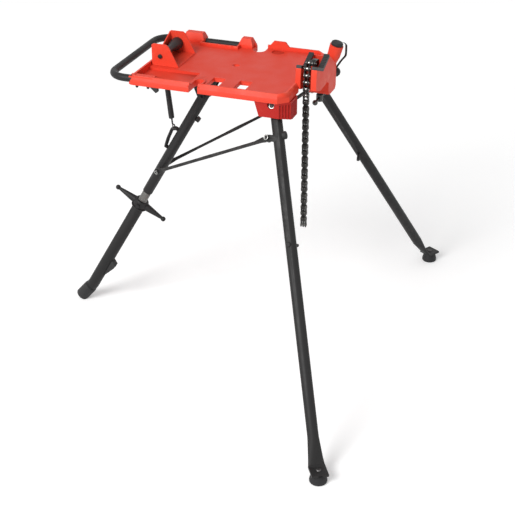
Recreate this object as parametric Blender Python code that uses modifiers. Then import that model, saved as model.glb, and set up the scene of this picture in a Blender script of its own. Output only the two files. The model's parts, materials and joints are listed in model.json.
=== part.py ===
"""Folding tripod pipe stand with a chain vise, a tool tray and a levelling rear leg.

Metres, +Z up, standing on z = 0. The pipe lies along X, the vise is at the +X end.
"Left" is the -Y side and "right" the +Y side, as seen by someone standing at the vise.
"""
import math

import bmesh
import bpy
from mathutils import Matrix, Quaternion, Vector

# Running and seating clearances
SEAT_GAP = 0.0003
RUN_GAP = 0.0012

# Tray casting
TRAY_LENGTH = 0.468
TRAY_WIDTH = 0.392
RIM_HEIGHT = 0.888
SKIRT_DEPTH = 0.026
RIM_SLOPE_HEIGHT = 0.012
RIM_SLOPE_INSET = 0.007
RIM_WIDTH = 0.013
SKIRT_WALL = 0.005
FLOOR_DROP = 0.010
FLOOR_THICKNESS = 0.004
CORNER_CHAMFER = 0.026
RIB_WIDTH = 0.004
RIB_OFFSET = 0.070
POCKET_DROP = 0.008
POCKET_END = -0.062
POCKET_WIDTH = 0.113
LEDGE_LENGTH = 0.073
LEDGE_WIDTH = 0.031
HOLE_LENGTH = 0.036
HOLE_DEPTH = 0.062
HOLE_CENTRES = (0.006, 0.085)
HOLE_EDGE_INSET = 0.095
LEFT_NOTCH_CENTRE = -0.0375
LEFT_NOTCH_WIDTH = 0.026
LEFT_NOTCH_DEPTH = 0.060
RIGHT_NOTCH_CENTRE = 0.0285
RIGHT_NOTCH_WIDTH = 0.037
RIGHT_NOTCH_DEPTH = 0.054
GRIP_GAP_INSET = 0.084
GRIP_GAP_END = -0.038
GRIP_GAP_DEPTH = 0.051
BLOCK_RISE = 0.017
BLOCK_WIDTH = 0.034
LEFT_BLOCK_INSET = 0.017
RIGHT_BLOCK_END = 0.005
HUMP_START = 0.054
HUMP_END = 0.114
HUMP_SHOULDER = 0.012
CUP_RADIUS = 0.0195
CUP_DEPTH = 0.0028
CUP_X = 0.088
CUP_INSET = 0.0365
KEY_SLOT_LENGTH = 0.022
KEY_SLOT_WIDTH = 0.019
KEY_SLOT_CENTRE = (0.011, 0.012)
STUD_INSETS = (0.021, 0.055)
CLIP_INSET = 0.064
CLIP_LENGTH = 0.024
CLIP_DROP = 0.016

# Carrying handle tube
HANDLE_DIAMETER = 0.0214
HANDLE_REACH = 0.079
HANDLE_BEND = 0.050
HANDLE_SIDE_INSET = 0.013
HANDLE_INSET = 0.032

# Front legs: hinge place, foot place and tube
LEG_DIAMETER = 0.0318
FRONT_HINGE_INSET = 0.0462
FRONT_HINGE_SIDE_INSET = 0.044
FRONT_HINGE_DROP = 0.055
FRONT_FOOT_X = 0.489
FRONT_FOOT_Y = 0.650
HINGE_BOLT_DIAMETER = 0.010
HINGE_HEAD_SEAT = 0.026
HINGE_HEAD_RADIUS = 0.011
HINGE_NUT_RADIUS = 0.0085
FOOT_RADIUS = 0.0245
FOOT_HEIGHT = 0.0295
PAD_THICKNESS = 0.006
STUD_REACH = 0.380
STUD_DIAMETER = 0.010
STUD_PIN_LENGTH = 0.025

# Leg housings under the tray's front corners
HOUSING_LENGTH = 0.094
HOUSING_OVERHANG = 0.004
HOUSING_VISE_GAP = 0.0095
HOUSING_SIDE_INSET = 0.005
HOUSING_OUTER_DROP = 0.070
HOUSING_INNER_DROP = 0.093
HOUSING_FLUTE_RADIUS = 0.0030
HOUSING_FLUTE_PITCH = 0.0095

# Rear leg: upper tube, threaded tube, levelling nut, lower tube
REAR_HINGE_X = -0.0817
REAR_HINGE_DROP = 0.103
REAR_LEG_ANGLE = math.radians(29.87)
REAR_TUBE_LENGTH = 0.404
THREAD_DIAMETER = 0.0275
THREAD_IN_TUBE = 0.074
THREAD_SHOWING = 0.038
THREAD_END_GAP = 0.194
NUT_HEIGHT = 0.030
NUT_RADIUS = 0.023
NUT_ARM_REACH = 0.0865
NUT_ARM_ROOT = 0.0125
NUT_ARM_DIAMETER = 0.0085
NUT_BALL_DIAMETER = 0.016
LOWER_TUBE_DIAMETER = 0.038
LOWER_TUBE_WALL = 0.0025
LOWER_BORE_END_GAP = 0.117
REAR_BEND_HEIGHT = 0.062
REAR_FOOT_LEAN = math.radians(41.0)
REAR_FOOT_RADIUS = 0.0215
REAR_FOOT_SOLE = 0.0110
REAR_CAP_LENGTH = 0.055
REAR_CAP_FLOOR = 0.008
BRACKET_THICKNESS = 0.004
BRACKET_LENGTH = 0.105
PEDAL_END_GAP = 0.131
PEDAL_LENGTH = 0.086
PEDAL_RISE = 0.0150
PEDAL_WIDTH = 0.022
STOP_PLACE = 0.086
STOP_SIZE = 0.014

# Braces between the rear leg and each front leg
BRACE_DIAMETER = 0.0104
BRACE_FRONT_PLACE = 0.089
BRACE_LUG_OFFSET = 0.030
BRACE_REAR_PLACE = 0.303
BRACE_REAR_OFFSET = 0.030
EYE_RADIUS = 0.0105
EYE_THICKNESS = 0.005
PIVOT_DIAMETER = 0.008
PIVOT_SLACK = 0.0029
LUG_THICKNESS = 0.005

# Tie strap between the tray and the loop on the rear leg
LOOP_START = 0.156
LOOP_END = 0.228
LOOP_STANDOFF = 0.0315
LOOP_DIAMETER = 0.0075
STRAP_TOP_INSET = 0.0215
STRAP_DIAMETER = 0.017
STRAP_HOOK_DIAMETER = 0.007
STRAP_HOOK_LENGTH = 0.022

# Pipe rest at the -X end
REST_INSET = 0.0155
REST_LENGTH = 0.0825
REST_AXLE_PLACE = 0.0265
REST_AXLE_RISE = 0.0286
REST_WIDTH = 0.130
REST_HEIGHT = 0.064
REST_THICKNESS = 0.004
REST_BASE_THICKNESS = 0.003
REST_VEE_RISE = 0.036
AXLE_DIAMETER = 0.008
ROLLER_END_RADIUS = 0.0182
ROLLER_WAIST_RADIUS = 0.0105

# Chain vise at the +X end
VISE_INSET = 0.0106
VISE_REAR_WALL = 0.0147
VISE_SLOT_WIDTH = 0.0300
VISE_FRONT_WALL = 0.0158
VISE_NEAR_Y = -0.0895
VISE_FAR_Y = 0.1025
VISE_NEAR_DROP = 0.017
VISE_FAR_DROP = 0.075
VISE_SHOULDER_DROP = 0.0025
VISE_NEAR_SLOPE = 0.036
VEE_Y = -0.025
VEE_LIFT = 0.0285
VEE_HALF_WIDTH = 0.056
VEE_RISE = 0.0215
JAW_THICKNESS = 0.009
JAW_TEETH = 9
JAW_TOOTH_DEPTH = 0.0016
ARCH_Y = 0.030
ARCH_RADIUS = 0.012
ARCH_RISE = 0.038
SCREW_Y = 0.047
SCREW_DIAMETER = 0.014
SCREW_HEAD_DIAMETER = 0.020
SCREW_HEAD_HEIGHT = 0.0195
SCREW_BORE_GAP = 0.016
TOMMY_DROP = 0.089
TOMMY_LENGTH = 0.086
TOMMY_DIAMETER = 0.008
TOMMY_BALL_DIAMETER = 0.016
SOCKET_Y = 0.104
SOCKET_INSET = 0.0010
SOCKET_RADIUS = 0.0200
SOCKET_NECK_RADIUS = 0.0105
SOCKET_COLLAR = 0.032
SOCKET_NECK = 0.040
SOCKET_LEAN = math.radians(15.0)
SOCKET_LIFT = 0.053
SOCKET_BORE = 0.010
CAP_RADIUS = 0.0172
CAP_HEIGHT = 0.010
CAP_PLUG = 0.020
TETHER_WIDTH = 0.0045
TETHER_THICKNESS = 0.0030
KNOB_INSET = 0.0085
KNOB_DROP = 0.036
KNOB_RADIUS = 0.0100
KNOB_NECK = 0.0055
KNOB_LENGTH = 0.034
KNOB_SHANK_RADIUS = 0.0025

# Chain: pitch, plates and pins
CHAIN_PITCH = 0.01905
CHAIN_PLATE_HEIGHT = 0.0155
CHAIN_WAIST = 0.0115
CHAIN_PLATE = 0.0024
CHAIN_INNER_GAP = 0.0052
CHAIN_SIDE_GAP = 0.0004
CHAIN_PIN_DIAMETER = 0.0062
CHAIN_PIN_HEAD = 0.0018
CHAIN_LEAD_LINKS = 8
CHAIN_HANGING_PAIRS = 10
CHAIN_HANG_Y = -0.0815
CHAIN_START_Y = 0.002
CHAIN_START_RISE = 0.0085
CHAIN_ARM_LENGTH = 0.0405
CHAIN_TURN = 0.0105
CHAIN_FALL = 0.052

# Facets round a full circle
SMALL_SIDES = 12
ROUND_SIDES = 20

# Heights and places that follow from the sizes above
SKIRT_BOTTOM = RIM_HEIGHT - SKIRT_DEPTH
FLOOR_TOP = RIM_HEIGHT - FLOOR_DROP
FLOOR_UNDER = FLOOR_TOP - FLOOR_THICKNESS
HALF_LENGTH = TRAY_LENGTH / 2
HALF_WIDTH = TRAY_WIDTH / 2
POCKET_SIDE = -HALF_WIDTH + POCKET_WIDTH
HOLE_INNER_EDGE = -HALF_WIDTH + HOLE_EDGE_INSET
HANDLE_SIDE = HALF_WIDTH - HANDLE_SIDE_INSET
FRONT_HINGE_Y = HALF_WIDTH - FRONT_HINGE_SIDE_INSET
HOUSING_INNER_Y = VISE_FAR_Y + HOUSING_VISE_GAP
HOUSING_OUTER_Y = HALF_WIDTH - HOUSING_SIDE_INSET
LEG_RADIUS = LEG_DIAMETER / 2
HANDLE_RADIUS = HANDLE_DIAMETER / 2
HANDLE_HEIGHT = SKIRT_BOTTOM + SKIRT_DEPTH * 0.54
BLOCK_TOP = RIM_HEIGHT + BLOCK_RISE
LEFT_BLOCK_START = -HALF_LENGTH + LEFT_BLOCK_INSET
GRIP_GAP_START = -HALF_LENGTH + GRIP_GAP_INSET
REST_START = -HALF_LENGTH + REST_INSET
REST_END = REST_START + REST_LENGTH
REST_X = REST_START + REST_AXLE_PLACE
VISE_START = HALF_LENGTH - VISE_INSET + SEAT_GAP
SLOT_START = VISE_START + VISE_REAR_WALL
SLOT_END = SLOT_START + VISE_SLOT_WIDTH
VISE_END = SLOT_END + VISE_FRONT_WALL
VISE_NEAR_BOTTOM = RIM_HEIGHT - VISE_NEAR_DROP
VISE_FAR_BOTTOM = RIM_HEIGHT - VISE_FAR_DROP
VEE_HEIGHT = RIM_HEIGHT + VEE_LIFT
TOMMY_HEIGHT = RIM_HEIGHT - TOMMY_DROP
SOCKET_TOP = RIM_HEIGHT + SOCKET_LIFT
CHAIN_X = (SLOT_START + SLOT_END) / 2
FRONT_HINGE_X = HALF_LENGTH - FRONT_HINGE_INSET
FRONT_HINGE_HEIGHT = RIM_HEIGHT - FRONT_HINGE_DROP
HOUSING_START = HALF_LENGTH - HOUSING_LENGTH
HOUSING_OUTER_BOTTOM = RIM_HEIGHT - HOUSING_OUTER_DROP
HOUSING_INNER_BOTTOM = RIM_HEIGHT - HOUSING_INNER_DROP
REAR_HINGE_HEIGHT = RIM_HEIGHT - REAR_HINGE_DROP
REAR_BEND_PLACE = (REAR_HINGE_HEIGHT - REAR_BEND_HEIGHT) / math.cos(REAR_LEG_ANGLE)
REAR_BEND_X = REAR_HINGE_X - REAR_BEND_PLACE * math.sin(REAR_LEG_ANGLE)
REAR_FOOT_X = REAR_BEND_X - (REAR_BEND_HEIGHT - REAR_FOOT_SOLE) * math.tan(REAR_FOOT_LEAN)
THREAD_START = REAR_TUBE_LENGTH - THREAD_IN_TUBE
THREAD_END = REAR_BEND_PLACE - THREAD_END_GAP
NUT_PLACE = REAR_TUBE_LENGTH + THREAD_SHOWING + NUT_HEIGHT / 2
LOWER_BORE_END = REAR_BEND_PLACE - LOWER_BORE_END_GAP
PEDAL_START = REAR_BEND_PLACE - PEDAL_END_GAP
STRAP_TOP_X = -HALF_LENGTH + STRAP_TOP_INSET
REAR_REACH = -REAR_FOOT_X + REAR_FOOT_RADIUS * math.cos(REAR_FOOT_LEAN)
FRONT_REACH = FRONT_FOOT_X + FOOT_RADIUS
TRAY_X = (REAR_REACH - FRONT_REACH) / 2

PARTS = None
ROOT = None
FINISHES = {}


def start_scene():
    """Empty the scene and make the collection and the empty that carries the parts."""
    global PARTS, ROOT
    for old in list(bpy.data.objects):
        bpy.data.objects.remove(old, do_unlink=True)
    PARTS = bpy.data.collections.new("pipe_stand")
    bpy.context.scene.collection.children.link(PARTS)
    ROOT = bpy.data.objects.new("stand_centre", None)
    ROOT.location = (TRAY_X, 0.0, 0.0)
    PARTS.objects.link(ROOT)


def make_finish(name, colour, roughness, metallic):
    """One Principled material for a finish."""
    material = bpy.data.materials.new(name)
    material.use_nodes = True
    shader = material.node_tree.nodes["Principled BSDF"]
    shader.inputs["Base Color"].default_value = (*colour, 1.0)
    shader.inputs["Roughness"].default_value = roughness
    shader.inputs["Metallic"].default_value = metallic
    FINISHES[name] = material


def make_finishes():
    make_finish("red_powder_coat", (0.680, 0.030, 0.020), 0.45, 0.0)
    make_finish("charcoal_powder_coat", (0.042, 0.040, 0.040), 0.50, 0.0)
    make_finish("black_rubber", (0.012, 0.012, 0.012), 0.70, 0.0)
    make_finish("hardened_steel", (0.050, 0.050, 0.052), 0.40, 0.8)
    make_finish("zinc_steel", (0.560, 0.560, 0.550), 0.30, 1.0)
    make_finish("chain_steel", (0.060, 0.055, 0.050), 0.35, 0.9)


def mesh_object(name, mesh):
    """Link a mesh to the scene as a working object."""
    thing = bpy.data.objects.new(name, mesh)
    PARTS.objects.link(thing)
    return thing


def baked(thing):
    """Replace an object by the mesh that its curve or modifiers make."""
    bpy.context.view_layer.update()
    graph = bpy.context.evaluated_depsgraph_get()
    mesh = bpy.data.meshes.new_from_object(thing.evaluated_get(graph), depsgraph=graph)
    solid = bmesh.new()
    solid.from_mesh(mesh)
    bmesh.ops.remove_doubles(solid, verts=solid.verts, dist=1e-5)
    solid.to_mesh(mesh)
    solid.free()
    mesh.transform(thing.matrix_world)
    name = thing.name
    bpy.data.objects.remove(thing, do_unlink=True)
    return mesh_object(name, mesh)


def from_bmesh(name, solid):
    mesh = bpy.data.meshes.new(name)
    bmesh.ops.recalc_face_normals(solid, faces=solid.faces)
    solid.to_mesh(mesh)
    solid.free()
    return mesh_object(name, mesh)


def block(low, high):
    """A box between two corners."""
    solid = bmesh.new()
    bmesh.ops.create_cube(solid, size=1.0)
    size = Vector(high) - Vector(low)
    middle = (Vector(high) + Vector(low)) / 2
    bmesh.ops.scale(solid, vec=size, verts=solid.verts)
    bmesh.ops.translate(solid, vec=middle, verts=solid.verts)
    return from_bmesh("block", solid)


def along(start, end):
    """Matrix that puts +Z along the line from start to end, at its middle."""
    start = Vector(start)
    end = Vector(end)
    turn = (end - start).to_track_quat("Z", "X")
    return Matrix.Translation((start + end) / 2) @ turn.to_matrix().to_4x4()


def rod(start, end, radius, end_radius=None, sides=SMALL_SIDES):
    """A round bar, or a cone, between two points."""
    solid = bmesh.new()
    last = radius if end_radius is None else end_radius
    length = (Vector(end) - Vector(start)).length
    bmesh.ops.create_cone(
        solid, cap_ends=True, segments=sides, radius1=radius, radius2=last,
        depth=length, matrix=along(start, end))
    return from_bmesh("rod", solid)


def ball(centre, radius):
    solid = bmesh.new()
    bmesh.ops.create_uvsphere(
        solid, u_segments=SMALL_SIDES, v_segments=8, radius=radius,
        matrix=Matrix.Translation(centre))
    return from_bmesh("ball", solid)


def plate(outline, thickness, matrix):
    """A flat outline in its own XY plane, extruded evenly to both sides."""
    curve = bpy.data.curves.new("plate", "CURVE")
    curve.dimensions = "2D"
    curve.fill_mode = "BOTH"
    curve.extrude = thickness / 2
    spline = curve.splines.new("POLY")
    spline.points.add(len(outline) - 1)
    for point, (u, v) in zip(spline.points, outline):
        point.co = (u, v, 0.0, 1.0)
    spline.use_cyclic_u = True
    thing = bpy.data.objects.new("plate", curve)
    thing.matrix_world = matrix
    PARTS.objects.link(thing)
    return baked(thing)


def pipe(points, radius, resolution=6):
    """A round tube along points, with closed ends."""
    curve = bpy.data.curves.new("pipe", "CURVE")
    curve.dimensions = "3D"
    curve.bevel_depth = radius
    curve.bevel_resolution = resolution
    curve.use_fill_caps = True
    spline = curve.splines.new("POLY")
    spline.points.add(len(points) - 1)
    for point, place in zip(spline.points, points):
        point.co = (*place, 1.0)
    thing = bpy.data.objects.new("pipe", curve)
    PARTS.objects.link(thing)
    return baked(thing)


def turned(profile, matrix, sides=ROUND_SIDES):
    """A solid of revolution about its own Z from (radius, height) points, top to bottom."""
    mesh = bpy.data.meshes.new("turned")
    points = [(radius, 0.0, height) for radius, height in profile]
    edges = [(i, i + 1) for i in range(len(points) - 1)]
    mesh.from_pydata(points, edges, [])
    thing = mesh_object("turned", mesh)
    screw = thing.modifiers.new("turn", "SCREW")
    screw.axis = "Z"
    screw.steps = sides
    screw.render_steps = sides
    screw.use_merge_vertices = True
    screw.merge_threshold = 1e-5
    thing.matrix_world = matrix
    return baked(thing)


def loft(sections, sides=SMALL_SIDES):
    """A bar through oval sections, each a centre and two half axes as vectors."""
    solid = bmesh.new()
    rings = []
    for centre, first, second in sections:
        ring = []
        for i in range(sides):
            angle = 2 * math.pi * i / sides
            place = Vector(centre) + first * math.cos(angle) + second * math.sin(angle)
            ring.append(solid.verts.new(place))
        rings.append(ring)
    for low, high in zip(rings, rings[1:]):
        for i in range(sides):
            j = (i + 1) % sides
            solid.faces.new((low[i], low[j], high[j], high[i]))
    solid.faces.new(rings[0])
    solid.faces.new(rings[-1])
    return from_bmesh("loft", solid)


def stack(layers):
    """A solid through level outlines of equal length, each (points, height)."""
    solid = bmesh.new()
    rings = []
    for outline, height in layers:
        rings.append([solid.verts.new((x, y, height)) for x, y in outline])
    count = len(rings[0])
    for low, high in zip(rings, rings[1:]):
        for i in range(count):
            j = (i + 1) % count
            solid.faces.new((low[i], low[j], high[j], high[i]))
    solid.faces.new(rings[0])
    solid.faces.new(rings[-1])
    return from_bmesh("stack", solid)


def combine(target, tools, operation):
    """Boolean the tools into the target one after the other and remove them."""
    for tool in tools:
        change = target.modifiers.new(operation.lower(), "BOOLEAN")
        change.operation = operation
        change.solver = "EXACT"
        change.object = tool
        target = baked(target)
        bpy.data.objects.remove(tool, do_unlink=True)
    return target


def join(target, *tools):
    return combine(target, tools, "UNION")


def cut(target, *tools):
    return combine(target, tools, "DIFFERENCE")


def common(target, *tools):
    return combine(target, tools, "INTERSECT")


def place_part(thing, name, finish, pivot=(0.0, 0.0, 0.0)):
    """Name a finished solid, give it its finish and put its origin on its pivot."""
    thing.name = name
    mesh = thing.data
    mesh.name = name
    mesh.transform(Matrix.Translation(-Vector(pivot)))
    thing.location = pivot
    thing.parent = ROOT
    mesh.materials.clear()
    mesh.materials.append(FINISHES[finish])
    mesh.shade_smooth()
    mesh.set_sharp_from_angle(angle=math.radians(35.0))
    return thing


def axes(origin, first, second):
    """Matrix of a plane through origin spanned by two directions, normal along +Z."""
    u = Vector(first).normalized()
    normal = u.cross(Vector(second)).normalized()
    v = normal.cross(u)
    frame = Matrix((u, v, normal)).transposed().to_4x4()
    return Matrix.Translation(origin) @ frame


def level(height):
    """Matrix of a level plane, for outlines in X and Y."""
    return Matrix.Translation((0.0, 0.0, height))


def end_plane(x):
    """Matrix of a plane across the stand, for outlines in Y and Z."""
    return axes((x, 0.0, 0.0), (0.0, 1.0, 0.0), (0.0, 0.0, 1.0))


def side_plane(y):
    """Matrix of a plane along the stand, for outlines in X and Z."""
    return axes((0.0, y, 0.0), (1.0, 0.0, 0.0), (0.0, 0.0, 1.0))


def arc(centre, radius, start, end, steps):
    """Points on an arc in a plane, angles in degrees."""
    points = []
    for i in range(steps + 1):
        angle = math.radians(start + (end - start) * i / steps)
        points.append((centre[0] + radius * math.cos(angle), centre[1] + radius * math.sin(angle)))
    return points


def capsule(first, second, first_radius, second_radius, steps=6):
    """Outline round two circles of nearly equal radius."""
    heading = math.degrees(math.atan2(second[1] - first[1], second[0] - first[0]))
    points = arc(second, second_radius, heading - 90, heading + 90, steps)
    return points + arc(first, first_radius, heading + 90, heading + 270, steps)


def tray_outline(inset):
    """Tray plan with cut corners, moved in by an inset."""
    x = HALF_LENGTH - inset
    y = HALF_WIDTH - inset
    c = CORNER_CHAMFER - inset * 0.586
    return [(-x, -y + c * 0.3), (-x + c * 0.3, -y), (x - c, -y), (x, -y + c),
            (x, y - c), (x - c, y), (-x + c * 0.3, y), (-x, y - c * 0.3)]


def notch(centre, width, edge, depth, extra):
    """U-shaped outline that runs in from a long edge of the tray."""
    sign = 1.0 if edge > 0 else -1.0
    half = width / 2 + extra
    inner = edge - sign * (depth - width / 2)
    mouth = edge + sign * (0.02 if extra == 0 else -0.0001)
    if sign > 0:
        curve = arc((centre, inner), half, 360, 180, 10)
    else:
        curve = arc((centre, inner), half, 0, 180, 10)
    return [(centre + half, mouth)] + curve + [(centre - half, mouth)]


def make_tray():
    slope_start = RIM_HEIGHT - RIM_SLOPE_HEIGHT
    tray = stack([
        (tray_outline(0.0), SKIRT_BOTTOM),
        (tray_outline(0.0), slope_start),
        (tray_outline(RIM_SLOPE_INSET), RIM_HEIGHT)])
    above = BLOCK_TOP + 0.02
    below = SKIRT_BOTTOM - 0.01
    floor_cut = plate(tray_outline(RIM_WIDTH), above - FLOOR_TOP, level((above + FLOOR_TOP) / 2))
    under_cut = plate(tray_outline(SKIRT_WALL), FLOOR_UNDER - below, level((FLOOR_UNDER + below) / 2))
    tray = cut(tray, floor_cut, under_cut)
    edge = HALF_LENGTH - SKIRT_WALL + 0.001
    side = HALF_WIDTH - SKIRT_WALL + 0.001
    added = []
    for y in (-RIB_OFFSET, RIB_OFFSET):
        added.append(block((-edge, y - RIB_WIDTH / 2, SKIRT_BOTTOM),
                           (edge, y + RIB_WIDTH / 2, FLOOR_UNDER + 0.001)))
    # Far rim: two raised blocks for the grip, the wall of the finger gap and a hump
    outer = HALF_WIDTH
    inner = outer - BLOCK_WIDTH
    wall = outer - GRIP_GAP_DEPTH - SKIRT_WALL
    lead = RIM_SLOPE_INSET
    for start, end in ((LEFT_BLOCK_START, GRIP_GAP_START), (GRIP_GAP_END, RIGHT_BLOCK_END)):
        low = [(start, inner), (end, inner), (end, outer), (start, outer)]
        high = [(start + lead, inner + lead), (end - lead, inner + lead),
                (end - lead, outer - lead), (start + lead, outer - lead)]
        added.append(stack([(low, SKIRT_BOTTOM), (low, RIM_HEIGHT), (high, BLOCK_TOP)]))
    added.append(block((GRIP_GAP_START - SKIRT_WALL, wall, SKIRT_BOTTOM),
                       (GRIP_GAP_END + SKIRT_WALL, outer, RIM_HEIGHT - 0.001)))
    hump_inner = outer - RIM_WIDTH
    hump = [(HUMP_START, SKIRT_BOTTOM), (HUMP_END, SKIRT_BOTTOM), (HUMP_END, RIM_HEIGHT),
            (HUMP_END - HUMP_SHOULDER, RIM_HEIGHT + BLOCK_RISE * 0.85),
            (HUMP_START + HUMP_SHOULDER, RIM_HEIGHT + BLOCK_RISE * 0.85), (HUMP_START, RIM_HEIGHT)]
    hump_middle = (hump_inner + outer - lead) / 2
    added.append(plate(hump, outer - lead - hump_inner, side_plane(hump_middle)))
    # Notch walls, pocket pan and the ledge that holds the handle's end
    left_notch = notch(LEFT_NOTCH_CENTRE, LEFT_NOTCH_WIDTH, -HALF_WIDTH, LEFT_NOTCH_DEPTH, SKIRT_WALL)
    right_notch = notch(RIGHT_NOTCH_CENTRE, RIGHT_NOTCH_WIDTH, HALF_WIDTH, RIGHT_NOTCH_DEPTH, SKIRT_WALL)
    near_lip = FLOOR_TOP + 0.003
    far_lip = FLOOR_TOP - 0.0008
    for outline, lip in ((left_notch, near_lip), (right_notch, far_lip)):
        added.append(plate(outline, lip - SKIRT_BOTTOM, level((lip + SKIRT_BOTTOM) / 2)))
    cup = Vector((CUP_X, HALF_WIDTH - CUP_INSET, 0.0))
    up = Vector((0.0, 0.0, 1.0))
    cup_floor = FLOOR_TOP - CUP_DEPTH
    hole_far = HOLE_INNER_EDGE
    hole_near = HOLE_INNER_EDGE - HOLE_DEPTH
    pan_start = -HALF_LENGTH + RIM_WIDTH
    pan_near = -HALF_WIDTH + RIM_WIDTH
    pocket_floor = FLOOR_TOP - POCKET_DROP
    added.append(block((pan_start - RIB_WIDTH, pan_near - RIB_WIDTH, pocket_floor - FLOOR_THICKNESS),
                       (POCKET_END + RIB_WIDTH, POCKET_SIDE + RIB_WIDTH, FLOOR_TOP - 0.0004)))
    ledge_end = -HALF_LENGTH + LEDGE_LENGTH
    ledge_in = -HALF_WIDTH + LEDGE_WIDTH
    added.append(block((-HALF_LENGTH + 0.001, -side, SKIRT_BOTTOM + 0.0002),
                       (ledge_end, ledge_in, RIM_HEIGHT - 0.002)))
    tray = join(tray, *added)
    # Openings
    high = above - below
    middle = (above + below) / 2
    cuts = [plate(notch(LEFT_NOTCH_CENTRE, LEFT_NOTCH_WIDTH, -HALF_WIDTH, LEFT_NOTCH_DEPTH, 0.0),
                  high, level(middle)),
            plate(notch(RIGHT_NOTCH_CENTRE, RIGHT_NOTCH_WIDTH, HALF_WIDTH, RIGHT_NOTCH_DEPTH, 0.0),
                  high, level(middle)),
            block((GRIP_GAP_START, outer - GRIP_GAP_DEPTH, below), (GRIP_GAP_END, outer + 0.02, above)),
            block((ledge_end, pan_near, pocket_floor), (POCKET_END, POCKET_SIDE, above)),
            block((pan_start, ledge_in, pocket_floor), (ledge_end + 0.001, POCKET_SIDE, above))]
    for x in HOLE_CENTRES:
        half = HOLE_LENGTH / 2
        cuts.append(block((x - half, hole_near, below), (x + half, hole_far, above)))
    cuts.append(rod(cup + up * cup_floor, cup + up * above, CUP_RADIUS, sides=ROUND_SIDES))
    x, y = KEY_SLOT_CENTRE
    half = KEY_SLOT_LENGTH / 2
    side_in = KEY_SLOT_WIDTH / 2
    corner = KEY_SLOT_WIDTH * 0.3
    key = [(x - half, y - side_in + corner), (x - half + corner, y - side_in), (x + half - corner, y - side_in),
           (x + half, y - side_in + corner), (x + half, y + side_in - corner), (x + half - corner, y + side_in),
           (x - half + corner, y + side_in), (x - half, y + side_in - corner)]
    cuts.append(plate(key, high, level(middle)))
    # Gap in the +X end that takes the vise
    cuts.append(block((HALF_LENGTH - VISE_INSET, VISE_NEAR_Y - SEAT_GAP, below),
                      (HALF_LENGTH + 0.02, VISE_FAR_Y + SEAT_GAP, above)))
    # Bores that take the handle tube
    bore = HANDLE_RADIUS + SEAT_GAP
    cuts.append(rod((-HALF_LENGTH - 0.02, -HANDLE_SIDE, HANDLE_HEIGHT),
                    (-HALF_LENGTH + HANDLE_INSET + SEAT_GAP, -HANDLE_SIDE, HANDLE_HEIGHT), bore, sides=16))
    cuts.append(rod((-HALF_LENGTH - 0.02, HANDLE_SIDE, HANDLE_HEIGHT),
                    (GRIP_GAP_END + HANDLE_INSET + SEAT_GAP, HANDLE_SIDE, HANDLE_HEIGHT), bore, sides=16))
    tray = cut(tray, *cuts)
    place_part(tray, "tray_body", "red_powder_coat")


def make_handle():
    far_x = -HALF_LENGTH - HANDLE_REACH + HANDLE_RADIUS
    bend_x = far_x + HANDLE_BEND
    bend_y = HANDLE_SIDE - HANDLE_BEND
    path = [(-HALF_LENGTH + HANDLE_INSET, -HANDLE_SIDE)]
    path += arc((bend_x, -bend_y), HANDLE_BEND, 270, 180, 8)
    path += arc((bend_x, bend_y), HANDLE_BEND, 180, 90, 8)
    path.append((GRIP_GAP_END + HANDLE_INSET, HANDLE_SIDE))
    handle = pipe([(x, y, HANDLE_HEIGHT) for x, y in path], HANDLE_RADIUS)
    place_part(handle, "carry_handle", "charcoal_powder_coat")


def make_under_rim_fittings():
    top = SKIRT_BOTTOM - SEAT_GAP
    for i, inset in enumerate(STUD_INSETS):
        x = -HALF_LENGTH + inset
        stud = turned([(0.0, top), (0.0042, top), (0.0042, top - 0.007), (0.003, top - 0.010),
                       (0.0, top - 0.010)], Matrix.Translation((x, -HANDLE_SIDE, 0.0)), SMALL_SIDES)
        place_part(stud, "rim_stud_%d" % (i + 1), "black_rubber")
    start = -HALF_LENGTH + CLIP_INSET
    end = start + CLIP_LENGTH
    wedge = [(start, top), (end, top), (end, top - CLIP_DROP * 0.8), (end - CLIP_LENGTH * 0.25, top - CLIP_DROP)]
    clip_y = -HALF_WIDTH + 0.008
    clip = plate(wedge, 0.012, side_plane(clip_y))
    place_part(clip, "leg_clip", "black_rubber")


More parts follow.
